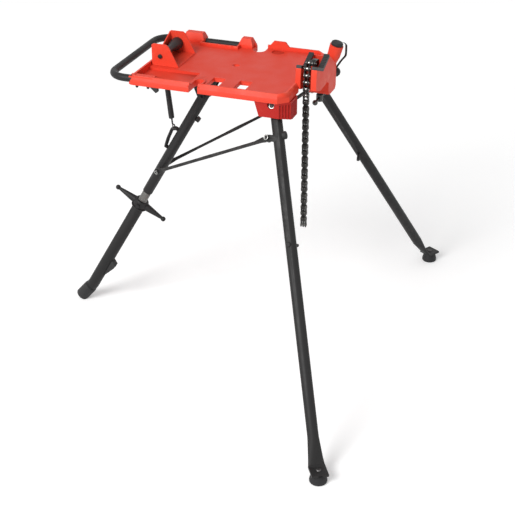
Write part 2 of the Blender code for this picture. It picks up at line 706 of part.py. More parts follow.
def make_pipe_rest():
    base_low = FLOOR_TOP + SEAT_GAP
    base_top = base_low + REST_BASE_THICKNESS
    axle_height = FLOOR_TOP + REST_AXLE_RISE
    half = REST_WIDTH / 2
    top = FLOOR_TOP + REST_HEIGHT
    wall = half - REST_THICKNESS
    channel = [(-half, base_low), (half, base_low), (half, top + 0.01), (wall, top + 0.01), (wall, base_top),
               (-wall, base_top), (-wall, top + 0.01), (-half, top + 0.01)]
    cheek = [(REST_START, base_low - 0.01), (REST_END, base_low - 0.01), (REST_END, base_low),
             (REST_END - 0.030, top - 0.006), (REST_END - 0.038, top), (REST_START + 0.006, top),
             (REST_START, top - 0.004)]
    rest = plate(channel, REST_LENGTH + 0.02, end_plane((REST_START + REST_END) / 2))
    # Back wall with a wide vee for the pipe
    vee = FLOOR_TOP + REST_VEE_RISE
    inside = wall + 0.001
    back = [(-inside, base_low + 0.001), (inside, base_low + 0.001), (inside, top - 0.004), (0.006, vee),
            (-0.006, vee), (-inside, top - 0.004)]
    back_place = REST_START + 0.0008 + REST_THICKNESS / 2
    rest = join(rest, plate(back, REST_THICKNESS, end_plane(back_place)))
    rest = common(rest, plate(cheek, REST_WIDTH + 0.02, side_plane(0.0)))
    pin = AXLE_DIAMETER / 2
    rest = cut(rest, rod((REST_X, -half - 0.01, axle_height), (REST_X, half + 0.01, axle_height),
                         pin + SEAT_GAP))
    place_part(rest, "roller_bracket", "red_powder_coat")
    outer = half + SEAT_GAP
    head = 0.0065
    turn = axes((REST_X, 0.0, axle_height), (1.0, 0.0, 0.0), (0.0, 0.0, -1.0))
    axle = turned([(0.0, outer + 0.004), (head, outer + 0.004), (head, outer), (pin, outer),
                   (pin, -outer), (head, -outer), (head, -outer - 0.004), (0.0, -outer - 0.004)],
                  turn, SMALL_SIDES)
    place_part(axle, "roller_axle", "black_rubber", (REST_X, 0.0, axle_height))
    end = half - REST_THICKNESS - RUN_GAP
    bore = pin + SEAT_GAP
    roller = turned([(bore, end), (ROLLER_END_RADIUS, end), (ROLLER_END_RADIUS, end * 0.82),
                     (ROLLER_WAIST_RADIUS, end * 0.10), (ROLLER_WAIST_RADIUS, -end * 0.10),
                     (ROLLER_END_RADIUS, -end * 0.82), (ROLLER_END_RADIUS, -end), (bore, -end),
                     (bore, end)], turn)
    place_part(roller, "pipe_roller", "hardened_steel", (REST_X, 0.0, axle_height))


def vee_line(offset):
    """Three points of the vee, moved down square to its arms."""
    slope = math.hypot(VEE_HALF_WIDTH, VEE_RISE)
    dy = offset * VEE_RISE / slope
    dz = offset * VEE_HALF_WIDTH / slope
    drop = offset * slope / VEE_HALF_WIDTH
    return [(VEE_Y - VEE_HALF_WIDTH - dy, VEE_HEIGHT + VEE_RISE - dz),
            (VEE_Y, VEE_HEIGHT - drop),
            (VEE_Y + VEE_HALF_WIDTH + dy, VEE_HEIGHT + VEE_RISE - dz)]


def chain_route():
    """Path of the chain's pins in Y and Z from the vee's height, over the vee and down its near side."""
    arm = Vector((-VEE_HALF_WIDTH, VEE_RISE)).normalized()
    start = Vector((VEE_Y + CHAIN_START_Y, CHAIN_START_RISE))
    crest = start + arm * CHAIN_ARM_LENGTH
    turn = crest - Vector((CHAIN_TURN, CHAIN_TURN * 0.5))
    middle = Vector((CHAIN_HANG_Y + (turn.x - CHAIN_HANG_Y) * 0.4, crest.y - CHAIN_FALL * 0.48))
    return [start, crest, turn, middle, Vector((CHAIN_HANG_Y, crest.y - CHAIN_FALL)), Vector((CHAIN_HANG_Y, -1.0))]


def moved_path(points, distance):
    """Path moved square to itself, to the left of its heading, with mitred corners."""
    normals = []
    for first, second in zip(points, points[1:]):
        heading = (second - first).normalized()
        normals.append(Vector((-heading.y, heading.x)))
    moved = [points[0] + normals[0] * distance]
    for i in range(1, len(points) - 1):
        share = distance / (1 + normals[i - 1].dot(normals[i]))
        moved.append(points[i] + (normals[i - 1] + normals[i]) * share)
    moved.append(points[-1] + normals[-1] * distance)
    return moved


def chain_pins(count):
    """Pin places one pitch apart along the chain's path."""
    route = chain_route()
    pins = [route[0].copy()]
    step = CHAIN_PITCH / 400
    stretch = 0
    place = route[0].copy()
    while len(pins) < count:
        target = route[stretch + 1]
        left = (target - place).length
        if left <= step:
            place = target.copy()
            stretch += 1
        else:
            place = place + (target - place) * (step / left)
        if (place - pins[-1]).length >= CHAIN_PITCH:
            heading = (place - pins[-1]).normalized()
            place = pins[-1] + heading * CHAIN_PITCH
            pins.append(place.copy())
    return pins


def make_vise():
    seat = vee_line(JAW_THICKNESS + SEAT_GAP)
    crest = seat[0]
    far_top = RIM_HEIGHT - VISE_SHOULDER_DROP
    low = VISE_FAR_BOTTOM
    under = VISE_NEAR_BOTTOM - ARCH_RADIUS
    outline = [(VISE_NEAR_Y + 0.001, VISE_NEAR_BOTTOM), (VISE_NEAR_Y, crest[1] - VISE_NEAR_SLOPE),
               (crest[0] - 0.0015, crest[1] - 0.003), seat[0], seat[1], seat[2],
               (seat[2][0] + 0.006, seat[2][1] - 0.001), (VISE_FAR_Y, far_top), (VISE_FAR_Y, low + 0.008),
               (VISE_FAR_Y - 0.008, low), (SCREW_Y + 0.004, low + 0.0005), (SCREW_Y - 0.012, low + 0.0035),
               (SCREW_Y - 0.016, low + 0.013), (ARCH_Y, under - 0.006), (ARCH_Y - ARCH_RADIUS, low + ARCH_RISE + 0.011),
               (ARCH_Y - ARCH_RADIUS * 2.6, under), (VEE_Y - 0.020, under - 0.0015)]
    middle = (VISE_START + VISE_END) / 2
    base = plate(outline, VISE_END - VISE_START, end_plane(middle))
    top = Vector((VISE_END - SOCKET_INSET, SOCKET_Y, SOCKET_TOP))
    lean = Vector((math.sin(SOCKET_LEAN), 0.0, math.cos(SOCKET_LEAN)))
    wide = Vector((0.0, 1.0, 0.0))
    fore = wide.cross(lean)
    collar = top - lean * SOCKET_COLLAR
    neck = collar - lean * SOCKET_NECK
    neck.y = VISE_FAR_Y - SOCKET_NECK_RADIUS - 0.001
    sections = [(neck, wide * SOCKET_NECK_RADIUS, fore * SOCKET_NECK_RADIUS),
                (collar, wide * SOCKET_RADIUS * 0.95, fore * SOCKET_RADIUS * 0.95),
                (top, wide * SOCKET_RADIUS, fore * SOCKET_RADIUS)]
    base = join(base, loft(sections, 16))
    # Chain slot with its saddle below the chain
    drop = CHAIN_PLATE_HEIGHT / 2 + RUN_GAP
    route = [p + Vector((0.0, VEE_HEIGHT)) for p in chain_route()]
    anchor_floor = VEE_HEIGHT - 0.0065
    slot_far = VEE_Y + VEE_HALF_WIDTH + 0.003
    above = VEE_HEIGHT + 0.1
    saddle = [(slot_far, above), (slot_far, anchor_floor), (route[0].x + 0.002, anchor_floor)]
    saddle += [tuple(p) for p in moved_path(route, drop)[:-1]]
    hang = (CHAIN_HANG_Y + drop, low - 0.02)
    outside = VISE_NEAR_Y - 0.05
    saddle += [hang, (outside, hang[1]), (outside, above)]
    slot = plate(saddle, VISE_SLOT_WIDTH, end_plane(CHAIN_X))
    bore_top = VEE_HEIGHT - SCREW_BORE_GAP
    screw_bore = rod((CHAIN_X, SCREW_Y, low - 0.02), (CHAIN_X, SCREW_Y, bore_top),
                     SCREW_DIAMETER / 2 + SEAT_GAP, sides=16)
    socket_bore = rod(top - lean * (CAP_PLUG + 0.006), top + lean * 0.01, SOCKET_BORE, sides=16)
    knob = Vector((VISE_END - KNOB_INSET, VISE_FAR_Y, RIM_HEIGHT - KNOB_DROP))
    knob_hole = rod(knob - wide * 0.013, knob + wide * 0.01, KNOB_SHANK_RADIUS + SEAT_GAP)
    base = cut(base, slot, screw_bore, socket_bore, knob_hole)
    place_part(base, "vise_base", "red_powder_coat")
    make_socket_cap(top, lean, knob)
    make_jaws()
    make_tension_screw(bore_top)


def make_socket_cap(top, lean, knob):
    turn = along(top, top + lean * 0.001) @ Matrix.Translation((0.0, 0.0, -0.0005))
    low = SEAT_GAP
    high = low + CAP_HEIGHT
    plug = SOCKET_BORE - SEAT_GAP
    cap = turned([(0.0, high), (CAP_RADIUS - 0.003, high), (CAP_RADIUS, high - 0.003), (CAP_RADIUS, low),
                  (plug, low), (plug, low - CAP_PLUG), (0.0, low - CAP_PLUG)], turn)
    place_part(cap, "socket_cap", "black_rubber", top)
    # Tether strap from the cap's edge down to a knob on the far face
    half = TETHER_THICKNESS / 2
    rim = top + lean * (low + CAP_HEIGHT * 0.5)
    face = VISE_FAR_Y + SEAT_GAP + half
    around = math.radians(40)
    start = rim + Vector((CAP_RADIUS * math.cos(around) + half * 1.9, CAP_RADIUS * math.sin(around) + half * 1.8, 0.0))
    foot = Vector((knob.x, face, knob.z))
    centres = [start, start + Vector((0.006, 0.004, -0.007)), start + Vector((0.0056, 0.0036, -0.039)),
               start + Vector((-0.008, 0.0025, -0.056)), foot + Vector((0.008, 0.0055, 0.0225)),
               foot + Vector((0.0, 0.0, 0.011)), foot - Vector((0.0, 0.0, 0.012))]
    widths = [1.0, 1.0, 1.0, 1.0, 1.1, 1.35, 1.2]
    sections = []
    for i, centre in enumerate(centres):
        run = (centres[min(i + 1, len(centres) - 1)] - centres[max(i - 1, 0)]).normalized()
        out = Vector((0.55, 0.83, 0.0)) if i < 4 else Vector((0.0, 1.0, 0.0))
        out = (out - run * out.dot(run)).normalized()
        sections.append((centre, run.cross(out) * TETHER_WIDTH * widths[i], out * half))
    strap = loft(sections)
    hole = KNOB_SHANK_RADIUS + SEAT_GAP
    side = Vector((0.0, 0.01, 0.0))
    strap = cut(strap, rod(foot - side, foot + side, hole))
    place_part(strap, "tether_strap", "black_rubber")
    head = half + SEAT_GAP
    end = head + KNOB_LENGTH
    turn = axes(foot, (1.0, 0.0, 0.0), (0.0, 0.0, -1.0))
    profile = [(0.0, end), (KNOB_RADIUS * 0.5, end - 0.0014), (KNOB_RADIUS * 0.86, end - 0.005),
               (KNOB_RADIUS, end - 0.010), (KNOB_RADIUS, end - 0.017), (KNOB_NECK, end - 0.021), (KNOB_NECK, head),
               (KNOB_SHANK_RADIUS, head), (KNOB_SHANK_RADIUS, -0.012), (0.0, -0.012)]
    screw = turned(profile, turn, SMALL_SIDES)
    place_part(screw, "tether_knob", "black_rubber")


def make_jaws():
    """Two toothed vee jaws, one on each wall beside the chain."""
    left, bottom, right = [Vector(p) for p in vee_line(0.0)]
    under = [Vector(p) for p in vee_line(JAW_THICKNESS)]
    outline = []
    for first, last in ((left, bottom), (bottom, right)):
        run = (last - first) / JAW_TEETH
        square = Vector((run.y, -run.x)).normalized()
        down = square if square.y < 0 else -square
        for i in range(JAW_TEETH):
            outline.append(tuple(first + run * i))
            outline.append(tuple(first + run * (i + 0.5) + down * JAW_TOOTH_DEPTH))
    outline.append(tuple(right))
    outline += [tuple(under[2]), tuple(under[1]), tuple(under[0])]
    for name, low, high in (("vise_jaw_rear", VISE_START, SLOT_START), ("vise_jaw_front", SLOT_END, VISE_END)):
        jaw = plate(outline, high - low, end_plane((low + high) / 2))
        place_part(jaw, name, "hardened_steel")


def make_tension_screw(bore_top):
    pivot = Vector((CHAIN_X, SCREW_Y, TOMMY_HEIGHT))
    half = SCREW_HEAD_HEIGHT / 2
    screw = rod(pivot - Vector((0, 0, half)), pivot + Vector((0, 0, half)), SCREW_HEAD_DIAMETER / 2, sides=16)
    shank_top = Vector((CHAIN_X, SCREW_Y, bore_top - SEAT_GAP))
    screw = join(screw, rod(pivot, shank_top, SCREW_DIAMETER / 2, sides=16))
    reach = Vector((0.0, TOMMY_LENGTH / 2, 0.0))
    radius = TOMMY_DIAMETER / 2
    screw = cut(screw, rod(pivot - reach, pivot + reach, radius + SEAT_GAP))
    place_part(screw, "tension_screw", "zinc_steel", pivot)
    bar = rod(pivot - reach, pivot + reach, radius)
    bar = join(bar, ball(pivot - reach, TOMMY_BALL_DIAMETER / 2), ball(pivot + reach, TOMMY_BALL_DIAMETER / 2))
    place_part(bar, "tommy_bar", "hardened_steel", pivot)


def link_plate(first, second, x, holes):
    """One figure-eight chain plate between two pins, in a plane across the stand."""
    radius = CHAIN_PLATE_HEIGHT / 2
    run = (second - first).normalized()
    square = Vector((-run.y, run.x))
    heading = math.degrees(math.atan2(run.y, run.x))
    middle = (first + second) / 2
    outline = arc(second, radius, heading - 78, heading + 78, 4)
    outline.append(tuple(middle + square * CHAIN_WAIST / 2))
    outline += arc(first, radius, heading + 102, heading + 258, 4)
    outline.append(tuple(middle - square * CHAIN_WAIST / 2))
    solid = plate(outline, CHAIN_PLATE, end_plane(x))
    for pin in holes:
        solid = cut(solid, chain_bar(pin, 0.02, CHAIN_PIN_DIAMETER / 2 + CHAIN_SIDE_GAP))
    return solid


def chain_bar(pin, half_length, radius):
    return rod((-half_length, *pin), (half_length, *pin), radius, sides=8)


def chain_run(pins):
    """Fused stretch of chain: inner and outer links by turns, the first hole free to turn."""
    inner_x = CHAIN_INNER_GAP / 2 + CHAIN_PLATE / 2
    outer_x = inner_x + CHAIN_PLATE + CHAIN_SIDE_GAP
    pin_half = outer_x + CHAIN_PLATE / 2 + CHAIN_PIN_HEAD
    run = None
    for i, (first, second) in enumerate(zip(pins, pins[1:])):
        offset = inner_x if i % 2 == 0 else outer_x
        holes = [first] if i == 0 else []
        pin = chain_bar(second, pin_half, CHAIN_PIN_DIAMETER / 2)
        run = pin if run is None else join(run, pin)
        for side in (-1.0, 1.0):
            run = join(run, link_plate(first, second, side * offset, holes))
    return run


def place_chain(thing, name, pin=(0.0, 0.0)):
    """Move a piece of chain from its own frame to the vise and put its origin on a pin."""
    thing.data.transform(Matrix.Translation((CHAIN_X, 0.0, VEE_HEIGHT)))
    place_part(thing, name, "chain_steel", (CHAIN_X, pin[0], pin[1] + VEE_HEIGHT))


def make_chain():
    pins = chain_pins(CHAIN_LEAD_LINKS + 2 * CHAIN_HANGING_PAIRS + 1)
    inner_x = CHAIN_INNER_GAP / 2 + CHAIN_PLATE / 2
    outer_face = inner_x + CHAIN_PLATE * 1.5 + CHAIN_SIDE_GAP
    inside = inner_x + CHAIN_PLATE / 2 + CHAIN_SIDE_GAP
    start = pins[0]
    tail = Vector((start.x + 0.024, 0.0042))
    body = plate(capsule(start, tail, CHAIN_PLATE_HEIGHT / 2, 0.0102), 2 * outer_face, end_plane(0.0))
    gap = block((-inside, start.x - 0.02, start.y - 0.02), (inside, start.x + 0.0095, start.y + 0.02))
    body = cut(body, gap)
    body = join(body, chain_bar(start, outer_face + CHAIN_PIN_HEAD, CHAIN_PIN_DIAMETER / 2))
    place_chain(body, "chain_anchor")
    lead = chain_run(pins[:CHAIN_LEAD_LINKS + 1])
    place_chain(lead, "chain_lead")
    for k in range(CHAIN_HANGING_PAIRS):
        first = CHAIN_LEAD_LINKS + 2 * k
        pair = chain_run(pins[first:first + 3])
        place_chain(pair, "chain_links_%02d" % (k + 1), pins[first])
    return pins


class FrontSide:
    """Places and directions of one front leg; side is -1 for left and +1 for right."""

    def __init__(self, side):
        self.side = side
        self.name = "left" if side < 0 else "right"
        self.hinge = Vector((FRONT_HINGE_X, side * FRONT_HINGE_Y, FRONT_HINGE_HEIGHT))
        self.foot = Vector((FRONT_FOOT_X, side * FRONT_FOOT_Y, 0.0))
        self.run = (self.foot - self.hinge).normalized()
        back = Vector((-1.0, 0.0, 0.0))
        self.fold_axis = self.run.cross(back).normalized()
        self.fold_angle = self.run.angle(back)
        self.outward = self.fold_axis * (-1.0 if self.fold_axis.y * side > 0 else 1.0)
        self.down = Vector((0.0, self.run.y, self.run.z)).normalized()
        self.front_pivot = self.hinge + self.run * BRACE_FRONT_PLACE - Vector((BRACE_LUG_OFFSET, 0.0, 0.0))
        rear = rear_point(BRACE_REAR_PLACE)
        self.rear_pivot = rear + Vector((0.0, side * BRACE_REAR_OFFSET, 0.0))
        self.solve_brace()

    def folded(self, share):
        """Turns of the front leg and of the rear leg at a share of the fold."""
        front = Quaternion(self.fold_axis, self.fold_angle * share)
        rear = Quaternion((0.0, 1.0, 0.0), rear_fold_angle() * share)
        return front, rear

    def gap_at(self, share):
        """Where the front pivot lies at a share of the fold, seen from the brace, less its rest place."""
        front, rear = self.folded(share)
        pivot = self.hinge + front @ (self.front_pivot - self.hinge)
        origin = rear_hinge() + rear @ (self.rear_pivot - rear_hinge())
        seen = rear.inverted() @ (pivot - origin)
        turn = Quaternion(self.brace_axis, self.brace_angle * share)
        return turn.inverted() @ seen - (self.front_pivot - self.rear_pivot)

    def solve_brace(self):
        """Axis and angle by which the brace turns on the rear leg when the stand folds."""
        front, rear = self.folded(1.0)
        start = (self.front_pivot - self.rear_pivot).normalized()
        pivot = self.hinge + front @ (self.front_pivot - self.hinge)
        origin = rear_hinge() + rear @ (self.rear_pivot - rear_hinge())
        end = (rear.inverted() @ (pivot - origin)).normalized()
        self.brace_axis = start.cross(end).normalized()
        self.brace_angle = start.angle(end)
        brace = rear @ Quaternion(self.brace_axis, self.brace_angle)
        relative = front.inverted() @ brace
        axis = relative.to_axis_angle()[0]
        self.pivot_axis = axis if axis.dot(self.outward) > 0 else -axis
        drift = self.gap_at(0.33) / 2
        self.eye_shift = drift - self.pivot_axis * drift.dot(self.pivot_axis)
        if self.brace_axis.dot(Vector((0.0, self.side, 0.0))) < 0:
            self.boss_axis = -self.brace_axis
        else:
            self.boss_axis = self.brace_axis.copy()


def rear_run():
    return Vector((-math.sin(REAR_LEG_ANGLE), 0.0, -math.cos(REAR_LEG_ANGLE)))


def rear_out():
    """Direction square to the rear leg, up and away from the front legs."""
    return Vector((-math.cos(REAR_LEG_ANGLE), 0.0, math.sin(REAR_LEG_ANGLE)))


def rear_hinge():
    return Vector((REAR_HINGE_X, 0.0, REAR_HINGE_HEIGHT))


def rear_point(place, out=0.0):
    return rear_hinge() + rear_run() * place + rear_out() * out


def rear_fold_angle():
    return rear_run().angle(Vector((-1.0, 0.0, 0.0)))


def make_housing(front):
    side = front.side
    y_in = side * HOUSING_INNER_Y
    y_out = side * HOUSING_OUTER_Y
    y_mid = (y_in + y_out) / 2
    deep = abs(y_out - y_in)
    end = HALF_LENGTH + HOUSING_OVERHANG
    top = SKIRT_BOTTOM - SEAT_GAP
    end_corner = (end, side * (HALF_WIDTH - CORNER_CHAMFER - 0.002))
    plan_corner = (HALF_LENGTH - CORNER_CHAMFER + 0.003, y_out)
    plan = [(HOUSING_START, y_in), (end, y_in), end_corner, plan_corner, (HOUSING_START, y_out)]
    if side < 0:
        plan.reverse()
    middle = (top + HOUSING_INNER_BOTTOM) / 2
    housing = plate(plan, (top - HOUSING_INNER_BOTTOM) + 0.02, level(middle))
    low = HOUSING_INNER_BOTTOM
    profile = [(HOUSING_START, top), (HOUSING_START + 0.020, low), (end - 0.012, low), (end + 0.01, low + 0.022),
               (end + 0.01, top)]
    housing = common(housing, plate(profile, deep + 0.02, side_plane(y_mid)))
    slope = [(y_in - side * 0.01, low - 0.003), (y_out + side * 0.01, HOUSING_OUTER_BOTTOM + 0.003),
             (y_out + side * 0.01, top + 0.02), (y_in - side * 0.01, top + 0.02)]
    housing = common(housing, plate(slope, 0.2, end_plane((HOUSING_START + end) / 2)))
    pad_y = sorted((y_in + side * 0.006, y_out - side * 0.016))
    pad = block((HOUSING_START + 0.012, pad_y[0], top - 0.004),
                (HALF_LENGTH - 0.0265, pad_y[1], FLOOR_UNDER - SEAT_GAP))
    housing = join(housing, pad)
    # Slot in which the leg swings from its standing place to -X
    radius = LEG_RADIUS + RUN_GAP
    plane = axes(front.hinge, (1.0, 0.0, 0.0), front.down)
    along_x = front.run.x
    along_down = front.run.dot(front.down)
    lean = math.degrees(math.atan2(-along_x, along_down))
    sector = [(-0.12, 0.15), (-0.12, -radius), (0.0, -radius)]
    sector += arc((0.0, 0.0), radius, -90, lean, 6)[1:]
    sector.append((along_x * 0.15 + radius * along_down, along_down * 0.15 - radius * along_x))
    slot = plate(sector, 2 * radius, plane)
    out = front.outward
    hole = rod(front.hinge - out * 0.08, front.hinge + out * 0.08, HINGE_BOLT_DIAMETER / 2 + SEAT_GAP)
    recess = rod(front.hinge + out * HINGE_HEAD_SEAT, front.hinge + out * 0.08,
                 HINGE_HEAD_RADIUS + 0.002, sides=20)
    nut_recess = rod(front.hinge - out * HINGE_HEAD_SEAT, front.hinge - out * 0.08,
                     HINGE_NUT_RADIUS + 0.002, sides=16)
    # Upright flutes from beside the bolt round the corner to the end face
    flutes = []
    beside = front.hinge.x + HINGE_HEAD_RADIUS + 0.0085
    corners = [Vector((min(beside, plan_corner[0]), y_out)), Vector(plan_corner), Vector(end_corner),
               Vector((end, y_in + side * HOUSING_FLUTE_PITCH))]
    for first, second in zip(corners, corners[1:]):
        count = round((second - first).length / HOUSING_FLUTE_PITCH)
        for i in range(count):
            x, y = first + (second - first) * ((i + 0.5) / count)
            flutes.append(rod((x, y, low - 0.01), (x, y, top - 0.006), HOUSING_FLUTE_RADIUS, sides=8))
    housing = cut(housing, slot, hole, recess, nut_recess, *flutes)
    place_part(housing, "leg_housing_" + front.name, "red_powder_coat")


def bolt(start, axis, grip, radius, head_radius, head_height, nut_height, nut_radius):
    """Bolt from a head seat along an axis, with a round socket head and a hex nut."""
    turn = along(start, start + axis * 0.001) @ Matrix.Translation((0.0, 0.0, -0.0005))
    profile = [(0.0, grip + nut_height + 0.002), (radius, grip + nut_height + 0.002), (radius, 0.0),
               (head_radius, 0.0), (head_radius, -head_height), (head_radius * 0.55, -head_height),
               (head_radius * 0.5, -head_height * 0.45), (0.0, -head_height * 0.45)]
    solid = turned(profile, turn, SMALL_SIDES)
    nut = rod(start + axis * grip, start + axis * (grip + nut_height), nut_radius, sides=6)
    return join(solid, nut)


def make_front_leg(front):
    run = front.run
    hinge = front.hinge
    level_out = Vector((run.x, run.y, 0.0)).normalized()
    across = Vector((-level_out.y, level_out.x, 0.0))
    square = run.cross(across).normalized()
    up = Vector((0.0, 0.0, 1.0))
    sole = FOOT_HEIGHT + SEAT_GAP + PAD_THICKNESS / 2
    length = (front.foot - hinge).length
    r = LEG_RADIUS

    def ring(place, radius):
        return (hinge + run * place, across * radius, square * radius)

    thin = PAD_THICKNESS / 2
    bent = (square + up * math.copysign(1.0, square.z)).normalized() * math.copysign(1.0, square.z)
    upright = up * math.copysign(1.0, square.z)
    pad = front.foot + up * sole
    sections = [ring(-r * 0.97, r * 0.38), ring(-r * 0.66, r * 0.76), ring(0.0, r), ring(length - 0.118, r),
                (hinge + run * (length - 0.062), across * 0.0205, square * 0.0065),
                (pad - level_out * 0.024 + up * 0.0035, across * 0.0230, bent * (thin * 1.25)),
                (pad - level_out * 0.010, across * 0.0235, upright * thin),
                (pad + level_out * 0.010, across * 0.0220, upright * thin),
                (pad + level_out * 0.019, across * 0.0160, upright * thin),
                (pad + level_out * 0.0235, across * 0.0070, upright * thin)]
    leg = loft(sections, 16)
    # Lug for the brace, offset inward so that the brace's eye lies on the pivot
    pivot = front.front_pivot
    axis = front.pivot_axis
    lug_shift = EYE_THICKNESS / 2 + RUN_GAP * 1.4 + LUG_THICKNESS / 2
    lug_centre = pivot - axis * lug_shift
    toward = hinge + run * BRACE_FRONT_PLACE - pivot
    toward = toward - axis * toward.dot(axis)
    plane = axes(lug_centre, toward, run - axis * run.dot(axis))
    lug = plate(capsule((0.0, 0.0), (toward.length * 0.8, 0.0), 0.0085, 0.0095), LUG_THICKNESS, plane)
    leg = join(leg, lug)
    stud_out = Vector((0.0, front.side, 0.0))
    stud_out = (stud_out - run * stud_out.dot(run)).normalized()
    stud_place = hinge + run * STUD_REACH
    out = front.outward
    holes = [rod(hinge - out * 0.03, hinge + out * 0.03, HINGE_BOLT_DIAMETER / 2 + SEAT_GAP),
             rod(stud_place - stud_out * 0.03, stud_place + stud_out * 0.03, STUD_DIAMETER / 2 + SEAT_GAP),
             rod(lug_centre - axis * 0.01, lug_centre + axis * 0.01, PIVOT_DIAMETER / 2 + SEAT_GAP),
             rod(pad - up * 0.01, pad + up * 0.01, 0.0034)]
    leg = cut(leg, *holes)
    place_part(leg, "front_leg_" + front.name, "charcoal_powder_coat", hinge)
    # Rubber foot with its screw
    dome = [(0.0, FOOT_HEIGHT), (0.0165, FOOT_HEIGHT), (0.0215, FOOT_HEIGHT - 0.009),
            (FOOT_RADIUS, 0.009), (FOOT_RADIUS, 0.003), (FOOT_RADIUS - 0.002, 0.0), (0.0, 0.0)]
    rubber = turned(dome, Matrix.Translation(front.foot))
    top = sole + thin + SEAT_GAP
    foot_screw = turned([(0.0, top + 0.0042), (0.0045, top + 0.0042), (0.0072, top + 0.0015), (0.0072, top),
                         (0.003, top), (0.003, 0.0125), (0.0, 0.0125)],
                        Matrix.Translation(front.foot), SMALL_SIDES)
    rubber = close_foot(rubber, front.foot)
    place_part(rubber, "front_foot_" + front.name, "black_rubber", hinge)
    place_part(foot_screw, "foot_screw_" + front.name, "hardened_steel", hinge)
    # Fold stud with a low head on the outside
    head = LEG_RADIUS + SEAT_GAP
    stud = rod(stud_place - stud_out * (LEG_RADIUS + STUD_PIN_LENGTH), stud_place + stud_out * head,
               STUD_DIAMETER / 2)
    stud = join(stud, rod(stud_place + stud_out * head, stud_place + stud_out * (head + 0.0032), 0.0075, 0.0055))
    place_part(stud, "fold_stud_" + front.name, "charcoal_powder_coat", hinge)
    # Hinge bolt through the housing, and pivot bolt through lug and eye
    grip = 2 * HINGE_HEAD_SEAT
    seat = hinge + out * (HINGE_HEAD_SEAT + SEAT_GAP)
    pin = bolt(seat, -out, grip + 2 * SEAT_GAP, HINGE_BOLT_DIAMETER / 2, HINGE_HEAD_RADIUS, 0.008, 0.008,
               HINGE_NUT_RADIUS)
    place_part(pin, "hinge_bolt_" + front.name, "zinc_steel", hinge)
    outer = pivot + axis * (EYE_THICKNESS / 2 + RUN_GAP * 1.6)
    span = EYE_THICKNESS / 2 + RUN_GAP * 1.6 + lug_shift + LUG_THICKNESS / 2 + SEAT_GAP
    link_pin = bolt(outer, -axis, span, PIVOT_DIAMETER / 2, 0.0075, 0.0035, 0.006, 0.00795)
    place_part(link_pin, "brace_bolt_" + front.name, "zinc_steel", hinge)


def close_foot(rubber, foot):
    """Cut the screw's hole into a turned rubber foot."""
    hole = rod(foot + Vector((0.0, 0.0, 0.0115)), foot + Vector((0.0, 0.0, FOOT_HEIGHT + 0.01)), 0.0033)
    return cut(rubber, hole)


def make_brace(front):
    start = front.rear_pivot
    end = front.front_pivot + front.eye_shift
    run = (end - start).normalized()
    length = (end - start).length
    r = BRACE_DIAMETER / 2
    thin = EYE_THICKNESS / 2 - 0.0001
    rear_normal = (front.boss_axis - run * front.boss_axis.dot(run)).normalized()
    axis = front.pivot_axis
    front_normal = (axis - run * axis.dot(run)).normalized()
    flat = (run - axis * axis.dot(run)).normalized()

    def ring(place, normal, wide, tall):
        return (start + run * place, run.cross(normal) * wide, normal * tall)

    def end_ring(back, wide):
        return (end - flat * back, flat.cross(axis) * wide, axis * thin)

    middle = (rear_normal + front_normal).normalized()
    sections = [ring(0.0045, rear_normal, 0.0085, thin), ring(0.016, rear_normal, 0.0078, thin),
                ring(0.038, rear_normal, r, r), ring(length / 2, middle, r, r),
                ring(length - 0.058, front_normal, r, r), end_ring(0.022, 0.0078), end_ring(0.0085, 0.0085)]
    brace = loft(sections, SMALL_SIDES)
    rear_half = front.boss_axis * (EYE_THICKNESS / 2)
    front_half = front.pivot_axis * (EYE_THICKNESS / 2)
    front_bore = PIVOT_DIAMETER / 2 + PIVOT_SLACK
    brace = join(brace, rod(start - rear_half, start + rear_half, EYE_RADIUS, sides=16),
                 rod(end - front_half, end + front_half, front_bore + 0.0032, sides=16))
    brace = cut(brace, rod(start - rear_half * 3, start + rear_half * 3, PIVOT_DIAMETER / 2 + SEAT_GAP),
                rod(end - front_half * 3, end + front_half * 3, front_bore, sides=16))
    place_part(brace, "brace_" + front.name, "charcoal_powder_coat", start)


def make_rear_bracket():
    inner = LEG_RADIUS + RUN_GAP
    top = FLOOR_UNDER - SEAT_GAP
    start = REAR_HINGE_X - BRACKET_LENGTH * 0.45
    end = REAR_HINGE_X + BRACKET_LENGTH * 0.55
    outer = inner + BRACKET_THICKNESS
    low = REAR_HINGE_HEIGHT - 0.03
    channel = [(-outer, low), (-inner, low), (-inner, top - BRACKET_THICKNESS), (inner, top - BRACKET_THICKNESS),
               (inner, low), (outer, low), (outer, top), (-outer, top)]
    cheek = [(start, top + 0.01), (start, top - 0.018)]
    cheek += arc((REAR_HINGE_X, REAR_HINGE_HEIGHT), 0.018, 200, 340, 6)
    cheek += [(end, top - 0.018), (end, top + 0.01)]
    bracket = plate(channel, BRACKET_LENGTH + 0.02, end_plane((start + end) / 2))
    bracket = common(bracket, plate(cheek, 0.1, side_plane(0.0)))
    hinge = rear_hinge()
    wide = Vector((0.0, 0.05, 0.0))
    bracket = cut(bracket, rod(hinge - wide, hinge + wide, HINGE_BOLT_DIAMETER / 2 + SEAT_GAP))
    place_part(bracket, "rear_leg_bracket", "charcoal_powder_coat")
    seat = hinge - Vector((0.0, outer + SEAT_GAP, 0.0))
    pin = bolt(seat, Vector((0.0, 1.0, 0.0)), 2 * (outer + SEAT_GAP), HINGE_BOLT_DIAMETER / 2, 0.008, 0.006, 0.008,
               HINGE_NUT_RADIUS)
    place_part(pin, "hinge_bolt_rear", "charcoal_powder_coat", hinge)


